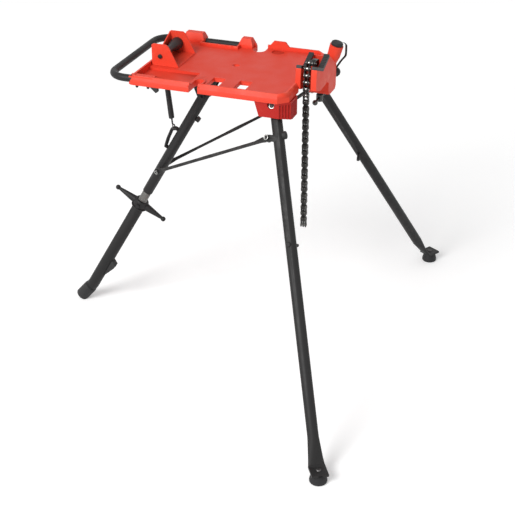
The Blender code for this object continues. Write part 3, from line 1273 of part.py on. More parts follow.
def make_rear_leg(fronts):
    r = LEG_RADIUS
    run = rear_run()
    out = rear_out()
    wide = Vector((0.0, 1.0, 0.0))

    def ring(place, radius):
        return (rear_point(place), wide * radius, out * radius)

    leg = loft([ring(-r * 0.97, r * 0.38), ring(-r * 0.66, r * 0.76), ring(0.0, r), ring(REAR_TUBE_LENGTH, r)], 16)
    hinge = rear_hinge()
    for front in fronts:
        foot = front.rear_pivot - front.boss_axis * (EYE_THICKNESS / 2 + SEAT_GAP)
        leg = join(leg, rod(foot - front.boss_axis * 0.022, foot, 0.0085))
    thread_radius = THREAD_DIAMETER / 2
    leg = cut(leg, rod(rear_point(THREAD_START - SEAT_GAP), rear_point(REAR_TUBE_LENGTH + 0.01),
                       thread_radius + SEAT_GAP, sides=16),
              rod(hinge - wide * 0.05, hinge + wide * 0.05, HINGE_BOLT_DIAMETER / 2 + SEAT_GAP))
    for front in fronts:
        seat = front.rear_pivot + front.boss_axis * (EYE_THICKNESS / 2 + SEAT_GAP)
        depth = EYE_THICKNESS + 2 * SEAT_GAP + 0.010
        leg = cut(leg, rod(seat - front.boss_axis * (depth + SEAT_GAP), seat, PIVOT_DIAMETER / 2 + SEAT_GAP))
        turn = along(seat, seat + front.boss_axis * 0.001) @ Matrix.Translation((0.0, 0.0, -0.0005))
        pin = turned([(0.0, 0.0055), (0.0065, 0.0055), (0.0085, 0.003), (0.0085, 0.0), (PIVOT_DIAMETER / 2, 0.0),
                      (PIVOT_DIAMETER / 2, -depth), (0.0, -depth)], turn, SMALL_SIDES)
        place_part(pin, "brace_bolt_rear_" + front.name, "zinc_steel", hinge)
    place_part(leg, "rear_leg_tube", "charcoal_powder_coat", hinge)
    thread = rod(rear_point(THREAD_START), rear_point(THREAD_END), thread_radius, sides=16)
    place_part(thread, "levelling_thread", "zinc_steel", hinge)
    # Loop on the outer side and stop lug on the inner side
    base = r + SEAT_GAP * 2
    bend = 0.012
    tall = LOOP_STANDOFF
    path = [rear_point(LOOP_START, base), rear_point(LOOP_START, tall - bend)]
    for u, v in arc((LOOP_START + bend, tall - bend), bend, 180, 90, 4):
        path.append(rear_point(u, v))
    path += [rear_point(LOOP_END - 0.030, tall - 0.003), rear_point(LOOP_END - 0.012, tall - 0.0065),
             rear_point(LOOP_END, base + 0.006), rear_point(LOOP_END, base)]
    loop = pipe(path, LOOP_DIAMETER / 2, 2)
    place_part(loop, "strap_loop", "charcoal_powder_coat", hinge)
    half = STOP_SIZE / 2
    lug = [(STOP_PLACE - half, -r - SEAT_GAP), (STOP_PLACE + half, -r - SEAT_GAP),
           (STOP_PLACE + half, -r - 0.011), (STOP_PLACE - half * 0.6, -r - 0.011)]
    plane = axes(hinge, run, out)
    stop = plate(lug, STOP_SIZE, plane)
    place_part(stop, "leg_stop", "charcoal_powder_coat", hinge)


def make_levelling_foot():
    run = rear_run()
    out = rear_out()
    hinge = rear_hinge()
    half = NUT_HEIGHT / 2
    bore = THREAD_DIAMETER / 2 + SEAT_GAP
    centre = rear_point(NUT_PLACE)
    turn = along(centre - run * 0.001, centre + run * 0.001)
    nut = turned([(bore, half), (NUT_RADIUS - 0.003, half), (NUT_RADIUS, half * 0.7), (NUT_RADIUS, -half * 0.7),
                  (NUT_RADIUS - 0.003, -half), (bore, -half), (bore, half)], turn)
    for sign in (-1.0, 1.0):
        tip = centre + out * (sign * NUT_ARM_REACH)
        root = centre + out * (sign * (NUT_RADIUS - 0.004))
        nut = join(nut, rod(root, tip, NUT_ARM_ROOT, NUT_ARM_DIAMETER / 2), ball(tip, NUT_BALL_DIAMETER / 2))
        side = Vector((0.0, sign, 0.0))
        nut = join(nut, rod(centre + side * (NUT_RADIUS - 0.004), centre + side * (NUT_RADIUS + 0.004), 0.007, sides=8))
    place_part(nut, "levelling_nut", "charcoal_powder_coat", centre)
    # Lower tube: hollow over the thread, bent towards the floor at its end
    radius = LOWER_TUBE_DIAMETER / 2
    top = NUT_PLACE + half + SEAT_GAP
    bend = rear_point(REAR_BEND_PLACE)
    foot = Vector((REAR_FOOT_X, 0.0, REAR_FOOT_SOLE))
    lower = Vector((-math.sin(REAR_FOOT_LEAN), 0.0, -math.cos(REAR_FOOT_LEAN)))
    end = foot - lower * REAR_CAP_FLOOR
    tube = pipe([rear_point(top), bend - run * 0.014, bend - run * 0.002 + lower * 0.001,
                 bend + lower * 0.010, end], radius)
    inner = radius - LOWER_TUBE_WALL
    tube = cut(tube, rod(rear_point(top - 0.01), rear_point(LOWER_BORE_END), inner, sides=16))
    place_part(tube, "lower_leg_tube", "charcoal_powder_coat", hinge)
    # Rubber cap with a flat sole
    wall = radius + SEAT_GAP
    cap_turn = along(end - lower * 0.001, end + lower * 0.001)
    rise = REAR_CAP_LENGTH - REAR_CAP_FLOOR
    cap = turned([(0.0, REAR_CAP_FLOOR), (REAR_FOOT_RADIUS, REAR_CAP_FLOOR), (REAR_FOOT_RADIUS, -rise + 0.006),
                  (wall + 0.001, -rise), (wall, -rise), (wall, SEAT_GAP), (0.0, SEAT_GAP)], cap_turn)
    cap = cut(cap, block((REAR_FOOT_X - 0.1, -0.1, -0.1), (REAR_FOOT_X + 0.1, 0.1, 0.0)))
    place_part(cap, "rear_foot_cap", "black_rubber", hinge)
    inside = radius * 0.7
    rise = radius + PEDAL_RISE
    fin = [(PEDAL_START, -inside), (PEDAL_START + PEDAL_LENGTH * 0.14, -rise),
           (PEDAL_START + PEDAL_LENGTH * 0.30, -rise), (PEDAL_START + PEDAL_LENGTH, -inside)]
    pedal = plate(fin, PEDAL_WIDTH, axes(hinge, run, out))
    saddle = (radius + SEAT_GAP) / math.cos(math.pi / 16)
    pedal = cut(pedal, rod(rear_point(PEDAL_START - 0.02), rear_point(PEDAL_START + PEDAL_LENGTH + 0.02),
                           saddle, sides=16))
    place_part(pedal, "foot_pedal", "black_rubber", hinge)


def make_tie_strap():
    """Rubber-sleeved strap from the tray's underside to the loop on the rear leg."""
    top = Vector((STRAP_TOP_X, 0.0, FLOOR_UNDER - SEAT_GAP))
    reach = LOOP_DIAMETER / 2 + STRAP_HOOK_DIAMETER / 2 + SEAT_GAP
    low = rear_point(LOOP_START - reach * 0.2, LOOP_STANDOFF + reach * 0.9)
    run = (low - top).normalized()
    side = Vector((0.0, 1.0, 0.0))
    out = run.cross(side)
    length = (low - top).length
    sleeve = STRAP_DIAMETER / 2
    hook = STRAP_HOOK_DIAMETER / 2
    level_out = Vector((1.0, 0.0, 0.0))

    def ring(place, radius):
        return (top + run * place, side * radius, out * radius)

    sections = [(top, side * (sleeve * 0.9), -level_out * (sleeve * 0.9)), ring(0.012, sleeve),
                ring(length - STRAP_HOOK_LENGTH - 0.004, sleeve * 0.85), ring(length - STRAP_HOOK_LENGTH, hook * 1.3),
                ring(length - 0.003, hook), ring(length, hook * 0.5)]
    if sections[0][2].dot(sections[1][2]) < 0:
        sections[0] = (top, side * (sleeve * 0.9), level_out * (sleeve * 0.9))
    strap = loft(sections)
    place_part(strap, "tie_strap", "black_rubber", top)


def report_joints(fronts, pins):
    """Print where the joints lie, in the stand's own frame."""
    shift = Vector((TRAY_X, 0.0, 0.0))
    print("rear hinge", rear_hinge() + shift, "fold degrees", math.degrees(rear_fold_angle()))
    print("rear run", rear_run(), "nut", rear_point(NUT_PLACE) + shift)
    for front in fronts:
        print(front.name, "hinge", front.hinge + shift, "axis", front.fold_axis,
              "degrees", math.degrees(front.fold_angle))
        print(front.name, "brace", front.rear_pivot + shift, "axis", front.brace_axis,
              "degrees", math.degrees(front.brace_angle))
        drift = [round(front.gap_at(i / 8).length * 1000, 1) for i in range(9)]
        print(front.name, "open pivot drift in mm", drift)
    first = pins[CHAIN_LEAD_LINKS]
    print("chain first pin", (CHAIN_X + TRAY_X, first.x, first.y + VEE_HEIGHT), "pins", len(pins))
    print("chain end", pins[-1].y + VEE_HEIGHT, "tray middle", TRAY_X)


def main():
    start_scene()
    make_finishes()
    make_tray()
    make_handle()
    make_under_rim_fittings()
    make_pipe_rest()
    make_vise()
    pins = make_chain()
    fronts = [FrontSide(-1.0), FrontSide(1.0)]
    for front in fronts:
        make_housing(front)
        make_front_leg(front)
        make_brace(front)
    make_rear_bracket()
    make_rear_leg(fronts)
    make_levelling_foot()
    make_tie_strap()
    report_joints(fronts, pins)


main()
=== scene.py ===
"""Looks of the folding pipe stand: dressed pieces, finishes, studio and camera. Lengths are in metres."""
import json
import math
from contextlib import contextmanager

import bmesh
import bpy
import numpy as np
from mathutils import Matrix, Vector


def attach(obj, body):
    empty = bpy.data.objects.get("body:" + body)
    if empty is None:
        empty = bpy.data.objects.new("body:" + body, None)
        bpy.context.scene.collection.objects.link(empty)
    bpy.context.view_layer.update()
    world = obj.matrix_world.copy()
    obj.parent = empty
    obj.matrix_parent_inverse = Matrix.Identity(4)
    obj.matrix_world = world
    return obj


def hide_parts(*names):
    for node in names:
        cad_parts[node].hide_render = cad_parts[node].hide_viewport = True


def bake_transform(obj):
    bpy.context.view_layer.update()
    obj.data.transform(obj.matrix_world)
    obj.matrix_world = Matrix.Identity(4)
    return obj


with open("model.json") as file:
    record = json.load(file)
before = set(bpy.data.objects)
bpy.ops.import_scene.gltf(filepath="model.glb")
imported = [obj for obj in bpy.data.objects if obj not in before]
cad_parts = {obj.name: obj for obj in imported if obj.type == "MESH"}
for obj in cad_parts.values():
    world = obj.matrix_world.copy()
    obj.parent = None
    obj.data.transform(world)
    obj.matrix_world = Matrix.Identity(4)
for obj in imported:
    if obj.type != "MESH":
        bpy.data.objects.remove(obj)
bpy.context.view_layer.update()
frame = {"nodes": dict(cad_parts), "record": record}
scene = bpy.context.scene
BODIES = frame["record"]["behaviour"]["bodies"]
BODY_OF = {node: body for body, nodes in BODIES.items() for node in nodes}
SLOT_OF = {entry["node"]: entry["material_slot"] for entry in frame["record"]["subparts"]}

# Places that more than one piece needs, repeated from the solids
TRAY_X = 0.022
SIDES = (("left", -1.0), ("right", 1.0))
FRONT_HINGE = (0.1878, 0.152)
FRONT_FOOT = (0.489, 0.650)
HINGE_LEVEL = 0.833
FOOT_PLATE_LEVEL = 0.0328
REAR_HINGE = Vector((-0.0597, 0.0, 0.785))
RUN = Vector((-0.49803, 0.0, -0.86716))
OUT = Vector((-0.86716, 0.0, 0.49803))

ORIGIN = (0.0, 0.0, 0.0)
# A face looks along an axis when its normal has more than this much of it
FACING = 0.9
# A point is on a ring when it is closer to it than this
ON_RING = 0.0002


# Modelling

SHARP_FROM = math.radians(40.0)
SMOOTH_UP_TO = math.radians(38.0)
FLAT_WITHIN = math.radians(0.5)
FLAT_FACE_WEIGHT = 80
MERGE_WITHIN = 0.00001
HOOP_SEGMENTS = 40


def only(piece):
    """Select one piece alone."""
    bpy.ops.object.select_all(action="DESELECT")
    piece.select_set(True)
    bpy.context.view_layer.objects.active = piece


@contextmanager
def editing(piece):
    """Edit mode on one piece, all of it selected to begin with."""
    only(piece)
    bpy.ops.object.mode_set(mode="EDIT")
    bpy.ops.mesh.select_all(action="SELECT")
    yield
    bpy.ops.object.mode_set(mode="OBJECT")


def pick(piece, test, kind="VERT"):
    """Select the points or faces whose place and normal pass a test."""
    bpy.ops.mesh.select_all(action="DESELECT")
    bpy.ops.mesh.select_mode(type=kind)
    mesh = bmesh.from_edit_mesh(piece.data)
    for item in (mesh.faces if kind == "FACE" else mesh.verts):
        place = item.calc_center_median() if kind == "FACE" else item.co
        item.select_set(bool(test(place, item.normal)))
    mesh.select_flush_mode()
    bmesh.update_edit_mesh(piece.data)


def slice_at(point, normal):
    """Cut a new ring into the whole edited mesh."""
    bpy.ops.mesh.select_all(action="SELECT")
    bpy.ops.mesh.bisect(plane_co=point, plane_no=normal)


def extrude(move):
    """Draw the selected faces out of the edited mesh."""
    bpy.ops.mesh.extrude_region_move(TRANSFORM_OT_translate={"value": tuple(move)})


def resize(factors, centre=ORIGIN):
    """Scale what is selected about a place."""
    bpy.ops.transform.resize(value=factors, center_override=centre)


def apply_place(piece):
    """Move a piece's placement into its mesh."""
    only(piece)
    bpy.ops.object.transform_apply(location=True, rotation=True, scale=True)


def drum(radius, height, sides):
    """A drum round the own Z axis, to be shaped further."""
    bpy.ops.object.select_all(action="DESELECT")
    bpy.ops.mesh.primitive_cylinder_add(vertices=sides, radius=radius, depth=height, location=ORIGIN)
    return bpy.context.object


def block(size, place=ORIGIN, turn=0.0):
    """A box turned round its upright axis, to be shaped further."""
    bpy.ops.object.select_all(action="DESELECT")
    bpy.ops.mesh.primitive_cube_add(size=1.0, location=place, rotation=(0.0, 0.0, turn))
    piece = bpy.context.object
    piece.scale = size
    apply_place(piece)
    return piece


def hoop(radius, wire, sides):
    """A hoop of round wire about the own Z axis, to be shaped further."""
    bpy.ops.object.select_all(action="DESELECT")
    bpy.ops.mesh.primitive_torus_add(major_radius=radius, minor_radius=wire, major_segments=HOOP_SEGMENTS,
                                     minor_segments=sides, location=ORIGIN)
    return bpy.context.object


def turned_to(origin, along, across):
    """Placement whose own X runs along one direction and own Z along another."""
    x = Vector(along).normalized()
    z = Vector(across).normalized()
    z = (z - x * z.dot(x)).normalized()
    placement = Matrix((x, z.cross(x), z)).transposed().to_4x4()
    placement.translation = Vector(origin)
    return placement


def rear_point(place, out=0.0):
    """A place along the rear leg and off its axis."""
    return REAR_HINGE + RUN * place + OUT * out


def copy_at(model, placement):
    """A copy of a finished model with its own mesh, put in its place."""
    piece = bpy.data.objects.new(model.name + "_copy", model.data.copy())
    scene.collection.objects.link(piece)
    piece.matrix_world = placement
    return piece


def copy_of(node):
    """A merged copy of a solid, with its flat faces joined again."""
    piece = copy_at(frame["nodes"][node], Matrix.Identity(4))
    with editing(piece):
        bpy.ops.mesh.remove_doubles(threshold=MERGE_WITHIN)
        bpy.ops.mesh.dissolve_limited(angle_limit=FLAT_WITHIN)
        bpy.ops.mesh.normals_make_consistent(inside=False)
    return piece


def gathered(pieces):
    """Several placed pieces as one."""
    for piece in pieces:
        apply_place(piece)
    only(pieces[0])
    for piece in pieces[1:]:
        piece.select_set(True)
    bpy.ops.object.join()
    return pieces[0]


def apply_modifier(piece, modifier):
    """Make a modifier's work part of the mesh."""
    only(piece)
    bpy.ops.object.modifier_apply(modifier=modifier.name)


def soft_edges(piece, width, segments=2, round_bar=False):
    """Round the sharp edges and shade the result smooth, flat faces staying flat except on round bars."""
    bevel = piece.modifiers.new("soft_edges", "BEVEL")
    bevel.width = width
    bevel.segments = segments
    bevel.limit_method = "ANGLE"
    bevel.angle_limit = SHARP_FROM
    bevel.use_clamp_overlap = True
    apply_modifier(piece, bevel)
    bpy.ops.object.shade_smooth_by_angle(angle=SMOOTH_UP_TO)
    if not round_bar:
        weights = piece.modifiers.new("flat_faces", "WEIGHTED_NORMAL")
        weights.keep_sharp = True
        weights.weight = FLAT_FACE_WEIGHT
        apply_modifier(piece, weights)


def settle(piece, name, body, material, nodes=()):
    """Name a finished piece, give it its finish and let it ride on its body, if it has one."""
    apply_place(piece)
    piece.name = name
    piece.data.name = name
    piece.data.materials.clear()
    piece.data.materials.append(material)
    if body:
        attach(piece, body)
    if nodes:
        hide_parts(*nodes)


# Finishes

# Sockets of the Mix node that take and give colours
MIX_SHARE, MIX_BASE, MIX_OVER, MIXED_COLOUR = 0, 6, 7, 2


class Finish:
    """A material built up from object-space noise."""

    def __init__(self, name):
        self.material = bpy.data.materials.new(name)
        self.material.use_nodes = True
        self.tree = self.material.node_tree
        self.shader = self.tree.nodes["Principled BSDF"]
        self.place = self.tree.nodes.new("ShaderNodeTexCoord").outputs["Object"]

    def link(self, output, socket):
        self.tree.links.new(output, socket)

    def height(self):
        """Height above the floor."""
        node = self.tree.nodes.new("ShaderNodeSeparateXYZ")
        self.link(self.place, node.inputs["Vector"])
        return node.outputs["Z"]

    def stretched(self, factors):
        """Place scaled axis by axis, so that a pattern is drawn out as by brushing."""
        node = self.tree.nodes.new("ShaderNodeMapping")
        node.inputs["Scale"].default_value = factors
        self.link(self.place, node.inputs["Vector"])
        return node.outputs["Vector"]

    def noise(self, scale, detail=2.0, roughness=0.5, place=None):
        node = self.tree.nodes.new("ShaderNodeTexNoise")
        node.inputs["Scale"].default_value = scale
        node.inputs["Detail"].default_value = detail
        node.inputs["Roughness"].default_value = roughness
        self.link(self.place if place is None else place, node.inputs["Vector"])
        return node.outputs["Fac"]

    def ramp(self, value, stops):
        node = self.tree.nodes.new("ShaderNodeValToRGB")
        for element, (place, colour) in zip(node.color_ramp.elements, stops):
            element.position = place
            element.color = (*colour, 1.0)
        self.link(value, node.inputs["Fac"])
        return node.outputs["Color"]

    def spread(self, value, low, high, start=0.3, end=0.7):
        """Go from low to high while the value goes from start to end."""
        node = self.tree.nodes.new("ShaderNodeMapRange")
        node.inputs["From Min"].default_value = start
        node.inputs["From Max"].default_value = end
        node.inputs["To Min"].default_value = low
        node.inputs["To Max"].default_value = high
        self.link(value, node.inputs["Value"])
        return node.outputs["Result"]

    def edges(self, start, end):
        """Share from the surface's pointiness: over a half on outer edges, under it in corners."""
        node = self.tree.nodes.new("ShaderNodeNewGeometry")
        return self.spread(node.outputs["Pointiness"], 0.0, 1.0, start, end)

    def mixed(self, share, base, colour):
        """Lay a colour over a base by a share."""
        node = self.tree.nodes.new("ShaderNodeMix")
        node.data_type = "RGBA"
        self.link(share, node.inputs[MIX_SHARE])
        self.link(base, node.inputs[MIX_BASE])
        node.inputs[MIX_OVER].default_value = (*colour, 1.0)
        return node.outputs[MIXED_COLOUR]

    def times(self, first, second):
        node = self.tree.nodes.new("ShaderNodeMath")
        node.operation = "MULTIPLY"
        self.link(first, node.inputs[0])
        self.link(second, node.inputs[1])
        return node.outputs["Value"]

    def bump(self, height, strength, distance):
        node = self.tree.nodes.new("ShaderNodeBump")
        node.inputs["Strength"].default_value = strength
        node.inputs["Distance"].default_value = distance
        self.link(height, node.inputs["Height"])
        return node.outputs["Normal"]

    def set(self, **values):
        """Set the shader's sockets, each to a number, a colour or an output."""
        for key, value in values.items():
            socket = self.shader.inputs[key.replace("_", " ")]
            if isinstance(value, (int, float)):
                socket.default_value = value
            elif isinstance(value, tuple):
                socket.default_value = (*value, 1.0)
            else:
                self.link(value, socket)
        return self


def shade(colour, factor):
    """A colour made darker or lighter."""
    return tuple(min(1.0, channel * factor) for channel in colour)


def powder_coat(name, dark, light, worn_and_highlight, roughness, grain, depth, floor=None):
    """Baked powder paint: fine orange peel, slow shade drift, painted shade in corners, outer edges lighter
    partly from real rubbing and partly as a painted highlight, and a darker floor of painted shade where one
    is given.
    """
    finish = Finish(name)
    base = finish.ramp(finish.noise(scale=4.0), ((0.25, dark), (0.75, light)))
    scuffs = finish.noise(scale=60.0, detail=4.0, roughness=0.65)
    wear_and_highlight = finish.spread(scuffs, 0.0, 0.65, start=0.42, end=0.68)
    # Painted shade: a darker colour on the floor below a given height
    if floor is not None:
        colour, low, high = floor
        base = finish.mixed(finish.spread(finish.height(), 1.0, 0.0, low, high), base, colour)
        wear_and_highlight = finish.times(wear_and_highlight, finish.spread(finish.height(), 0.0, 1.0, low, high))
    # Painted shade: corners and hollows darkened by the surface's pointiness
    base = finish.mixed(finish.edges(start=0.485, end=0.42), base, shade(dark, 0.35))
    specks = finish.spread(finish.noise(scale=1500.0, detail=1.0), 0.0, 0.16, start=0.55, end=0.8)
    base = finish.mixed(specks, base, worn_and_highlight)
    # Outer edges lightened where the scuff noise allows: partly real wear, partly painted highlight
    colour = finish.mixed(finish.times(finish.edges(start=0.55, end=0.65), wear_and_highlight), base, worn_and_highlight)
    smudged = finish.spread(finish.noise(scale=22.0, detail=3.0), roughness - 0.05, roughness + 0.07)
    peel = finish.bump(finish.noise(scale=grain, roughness=0.55), strength=0.35, distance=depth)
    return finish.set(Base_Color=colour, Roughness=smudged, Normal=peel, Specular_IOR_Level=0.26).material


def rubber(name, dark, dusty):
    """Moulded rubber: dusty patches, scuffed outer edges, fine grain."""
    finish = Finish(name)
    base = finish.ramp(finish.noise(scale=14.0, detail=5.0, roughness=0.6), ((0.35, dark), (0.75, dusty)))
    colour = finish.mixed(finish.edges(start=0.54, end=0.66), base, shade(dusty, 2.2))
    rough = finish.spread(finish.noise(scale=40.0, detail=3.0), 0.55, 0.75)
    grain = finish.bump(finish.noise(scale=1100.0), strength=0.3, distance=0.0003)
    return finish.set(Base_Color=colour, Roughness=rough, Normal=grain, Specular_IOR_Level=0.35).material


def steel(name, dark, light, edge, roughness, brushing=(1.0, 1.0, 1.0), root_shade=0.5):
    """Bare steel: stains, edges rubbed bright, painted shade in the roots and hollows, fine brushing."""
    finish = Finish(name)
    base = finish.ramp(finish.noise(scale=18.0, detail=4.0, roughness=0.6), ((0.3, dark), (0.72, light)))
    base = finish.mixed(finish.edges(start=0.52, end=0.60), base, edge)
    # Painted shade: hollows and roots darkened by the surface's pointiness
    colour = finish.mixed(finish.edges(start=0.48, end=0.40), base, shade(dark, root_shade))
    rough = finish.spread(finish.noise(scale=55.0, detail=3.0), roughness - 0.08, roughness + 0.10)
    lines = finish.noise(scale=700.0, place=finish.stretched(brushing))
    grain = finish.bump(lines, strength=0.18, distance=0.0002)
    return finish.set(Base_Color=colour, Roughness=rough, Normal=grain, Metallic=1.0).material


RED_SHADES = ((0.740, 0.050, 0.022), (0.780, 0.056, 0.026), (0.90, 0.20, 0.13))
# Painted shade of the tray's floor, a darker red where the floor takes less light than the rim, and the
# heights between which it gives way to the rim's
TRAY_FLOOR_PAINTED_SHADE = ((0.700, 0.048, 0.023), 0.8800, 0.8850)

RED = powder_coat("red_powder_coat", *RED_SHADES, roughness=0.50, grain=900.0, depth=0.00035)
TRAY_RED = powder_coat("tray_powder_coat", *RED_SHADES, roughness=0.50, grain=900.0, depth=0.00035,
                       floor=TRAY_FLOOR_PAINTED_SHADE)
# Painted shade: a darker copy of the red powder coat for the leg housings, which lie in the tray's shadow
SHADOWED_RED = powder_coat("shadowed_red_powder_coat", (0.365, 0.008, 0.005), (0.415, 0.011, 0.007),
                       (0.65, 0.07, 0.04), roughness=0.42, grain=900.0, depth=0.00025)
CHARCOAL = powder_coat("charcoal_powder_coat", (0.0090, 0.0086, 0.0090), (0.0140, 0.0135, 0.0135),
                       (0.060, 0.058, 0.057), roughness=0.50, grain=1300.0, depth=0.0004)
OXIDE = powder_coat("black_oxide", (0.017, 0.0165, 0.017), (0.025, 0.0245, 0.025),
                    (0.060, 0.058, 0.057), roughness=0.42, grain=1500.0, depth=0.0002)
RUBBER = rubber("black_rubber", (0.010, 0.010, 0.011), (0.022, 0.022, 0.022))
SLEEVE = rubber("sleeve_rubber", (0.010, 0.010, 0.011), (0.020, 0.020, 0.021))
DARK_STEEL = steel("hardened_steel", (0.026, 0.025, 0.026), (0.050, 0.049, 0.048), (0.20, 0.19, 0.19),
                   roughness=0.44, brushing=(1.0, 14.0, 14.0))
ZINC = steel("zinc_steel", (0.26, 0.26, 0.25), (0.42, 0.42, 0.40), (0.55, 0.55, 0.53), roughness=0.30)
BLACKED = steel("blackened_steel", (0.010, 0.010, 0.010), (0.022, 0.0215, 0.021), (0.12, 0.12, 0.115),
                roughness=0.34)
CHAIN = steel("chain_steel", (0.010, 0.0095, 0.009), (0.024, 0.023, 0.021), (0.12, 0.116, 0.112),
              roughness=0.42)
# Painted light: the same pin steel twice, lighter for the pins on top of the vise and darker for the hanging
# pins
PINS_PAINTED_LIT = steel("pins_painted_lit", (0.18, 0.175, 0.17), (0.34, 0.33, 0.32), (0.50, 0.49, 0.47),
                  roughness=0.28)
PINS_PAINTED_SHADE = steel("pins_painted_shade", (0.030, 0.029, 0.027), (0.070, 0.067, 0.063), (0.34, 0.33, 0.32),
                 roughness=0.34)
# Deep painted shade in the thread's roots
THREAD = steel("cut_thread", (0.016, 0.015, 0.014), (0.030, 0.029, 0.027), (0.26, 0.255, 0.245),
               roughness=0.40, root_shade=0.10)


# Solids shown as they are, with soft edges

HANGING_PAIRS = 10
HINGE_BOLTS = ("hinge_bolt_left", "hinge_bolt_right")
FRONT_BRACE_BOLTS = ("brace_bolt_left", "brace_bolt_right")
REAR_BRACE_BOLTS = ("brace_bolt_rear_left", "brace_bolt_rear_right")
BOLTS = HINGE_BOLTS + FRONT_BRACE_BOLTS + REAR_BRACE_BOLTS
MADE_ANEW = {"levelling_thread", "tie_strap", "tether_strap", "tether_knob", "chain_lead", "strap_loop"}
MADE_ANEW |= {"chain_links_%02d" % (pair + 1) for pair in range(HANGING_PAIRS)}

SMALL_EDGE = 0.0005
EDGE = {"tray_body": 0.0022, "vise_base": 0.0020, "leg_housing_left": 0.0015, "leg_housing_right": 0.0015,
        "roller_bracket": 0.0012, "carry_handle": 0.0008, "front_foot_left": 0.0012,
        "front_foot_right": 0.0012, "rear_foot_cap": 0.0012, "levelling_nut": 0.0012, "foot_pedal": 0.0015,
        "leg_clip": 0.0012}
ROUND_BARS = {"carry_handle", "front_leg_left", "front_leg_right", "rear_leg_tube", "lower_leg_tube",
              "brace_left", "brace_right", "roller_axle", "socket_cap", "pipe_roller"}
FINISH_BY_SLOT = {"red_powder_coat": RED, "charcoal_powder_coat": CHARCOAL, "black_rubber": RUBBER,
                  "hardened_steel": DARK_STEEL, "zinc_steel": ZINC, "chain_steel": CHAIN}
FINISH_BY_NODE = {"tray_body": TRAY_RED, "leg_housing_left": SHADOWED_RED, "leg_housing_right": SHADOWED_RED,
                  "tension_screw": BLACKED, "tommy_bar": BLACKED, "vise_jaw_rear": OXIDE,
                  "vise_jaw_front": OXIDE, "pipe_roller": OXIDE, **{bolt: OXIDE for bolt in BOLTS}}


def dressed_solids():
    for node in sorted(set(BODY_OF) - MADE_ANEW):
        slot = SLOT_OF[node]
        piece = copy_of(node)
        soft_edges(piece, EDGE.get(node, SMALL_EDGE), round_bar=node in ROUND_BARS)
        finish = FINISH_BY_NODE.get(node, FINISH_BY_SLOT[slot])
        settle(piece, node + "_piece", BODY_OF[node], finish, (node,))


# Rings of the bolts, and black linings that paint the shade in the hinges' recesses

END_FACE_DEPTH = 0.0001
RING_SIDES = 10
RING_FLATNESS = 0.42
RING_TOP_FACING = 0.75
RING_TOP_PRESSED = 0.6
# Middle radius and half width: of a head ring as shares of the head's radius, of a nut ring as lengths
HEAD_RING = (0.77, 0.19)
HINGE_NUT_RING = (0.0078, 0.0019)
BRACE_NUT_RING = (0.0058, 0.0014)
NUT_RING_INSET = 0.0020
SHADE_LINING_RADIUS = 0.0127
SHADE_LINING_BORE = 0.0089
SHADE_LINING_DEPTH = 0.0045
SHADE_LINING_INSET = 0.0008


def flat_ring(middle, half):
    """Ring round the own Z axis, pressed flat with a level top."""
    ring = hoop(middle, half, RING_SIDES)
    with editing(ring):
        resize((1.0, 1.0, RING_FLATNESS))
        pick(ring, lambda p, n: n.z > RING_TOP_FACING)
        resize((1.0, 1.0, RING_TOP_PRESSED))
    bpy.ops.object.shade_smooth()
    return ring


def bolt_ends(node):
    """Radius, middle and outward direction of a bolt's wide end and of its narrow end."""
    points = np.array([vert.co[:] for vert in frame["nodes"][node].data.vertices])
    points = np.unique(points.round(6), axis=0)
    spreads, directions = np.linalg.eigh(np.cov((points - points.mean(axis=0)).T))
    # The bolt's axis is the direction whose spread is unlike the other two
    odd = 0 if abs(spreads[0] - spreads[1]) > abs(spreads[1] - spreads[2]) else 2
    ends = []
    for direction in (directions[:, odd], -directions[:, odd]):
        reach = points @ direction
        face = points[reach > reach.max() - END_FACE_DEPTH]
        middle = face.mean(axis=0)
        radius = np.linalg.norm(face - middle, axis=1).max()
        ends.append((radius, Vector(middle.tolist()), Vector(direction.tolist())))
    return max(ends, key=lambda end: end[0]), min(ends, key=lambda end: end[0])


def recess_shade_lining():
    """Short black tube in the recess round a hinge bolt's nut: painted shade for the recess's dark inside."""
    shade_lining = drum(SHADE_LINING_RADIUS, SHADE_LINING_DEPTH, sides=40)
    with editing(shade_lining):
        pick(shade_lining, lambda p, n: abs(n.z) > FACING, "FACE")
        bpy.ops.mesh.inset(thickness=SHADE_LINING_RADIUS - SHADE_LINING_BORE)
        bpy.ops.mesh.bridge_edge_loops()
    soft_edges(shade_lining, width=0.0003)
    return shade_lining


def bolt_rings():
    """Bright rings on the heads and nuts of the bolts, and black linings in the hinges' recesses as painted
    shade.
    """
    for bolt in BOLTS:
        (radius, head, direction), (_, tail, _) = bolt_ends(bolt)
        nut_face = tail + direction * NUT_RING_INSET
        head_ring = flat_ring(*(radius * share for share in HEAD_RING))
        added = [(head_ring, head, "_ring", ZINC, "zinc_steel")]
        if bolt not in REAR_BRACE_BOLTS:
            nut_ring = flat_ring(*(HINGE_NUT_RING if bolt in HINGE_BOLTS else BRACE_NUT_RING))
            added.append((nut_ring, nut_face, "_nut_ring", ZINC, "zinc_steel"))
        # Black tube standing for the shade inside the hinge's recess: painted shade
        if bolt in HINGE_BOLTS:
            middle = nut_face + direction * (SHADE_LINING_DEPTH / 2 + SHADE_LINING_INSET)
            added.append((recess_shade_lining(), middle, "_shade_sleeve", RUBBER, "black_rubber"))
        for piece, middle, ending, finish, slot in added:
            piece.matrix_world = turned_to(middle, direction.orthogonal(), direction)
            settle(piece, bolt + ending, BODY_OF[bolt], finish)


# Rounded ends of the brace pivots, on the far side of each front leg

LEG_RADIUS = 0.0159
PIVOT_RADIUS = 0.0112
PIVOT_HEIGHT = 0.0100
# Width and rise of each step towards the middle
PIVOT_STEPS = ((0.0014, 0.0016), (0.0022, 0.0011), (0.0030, 0.0006))


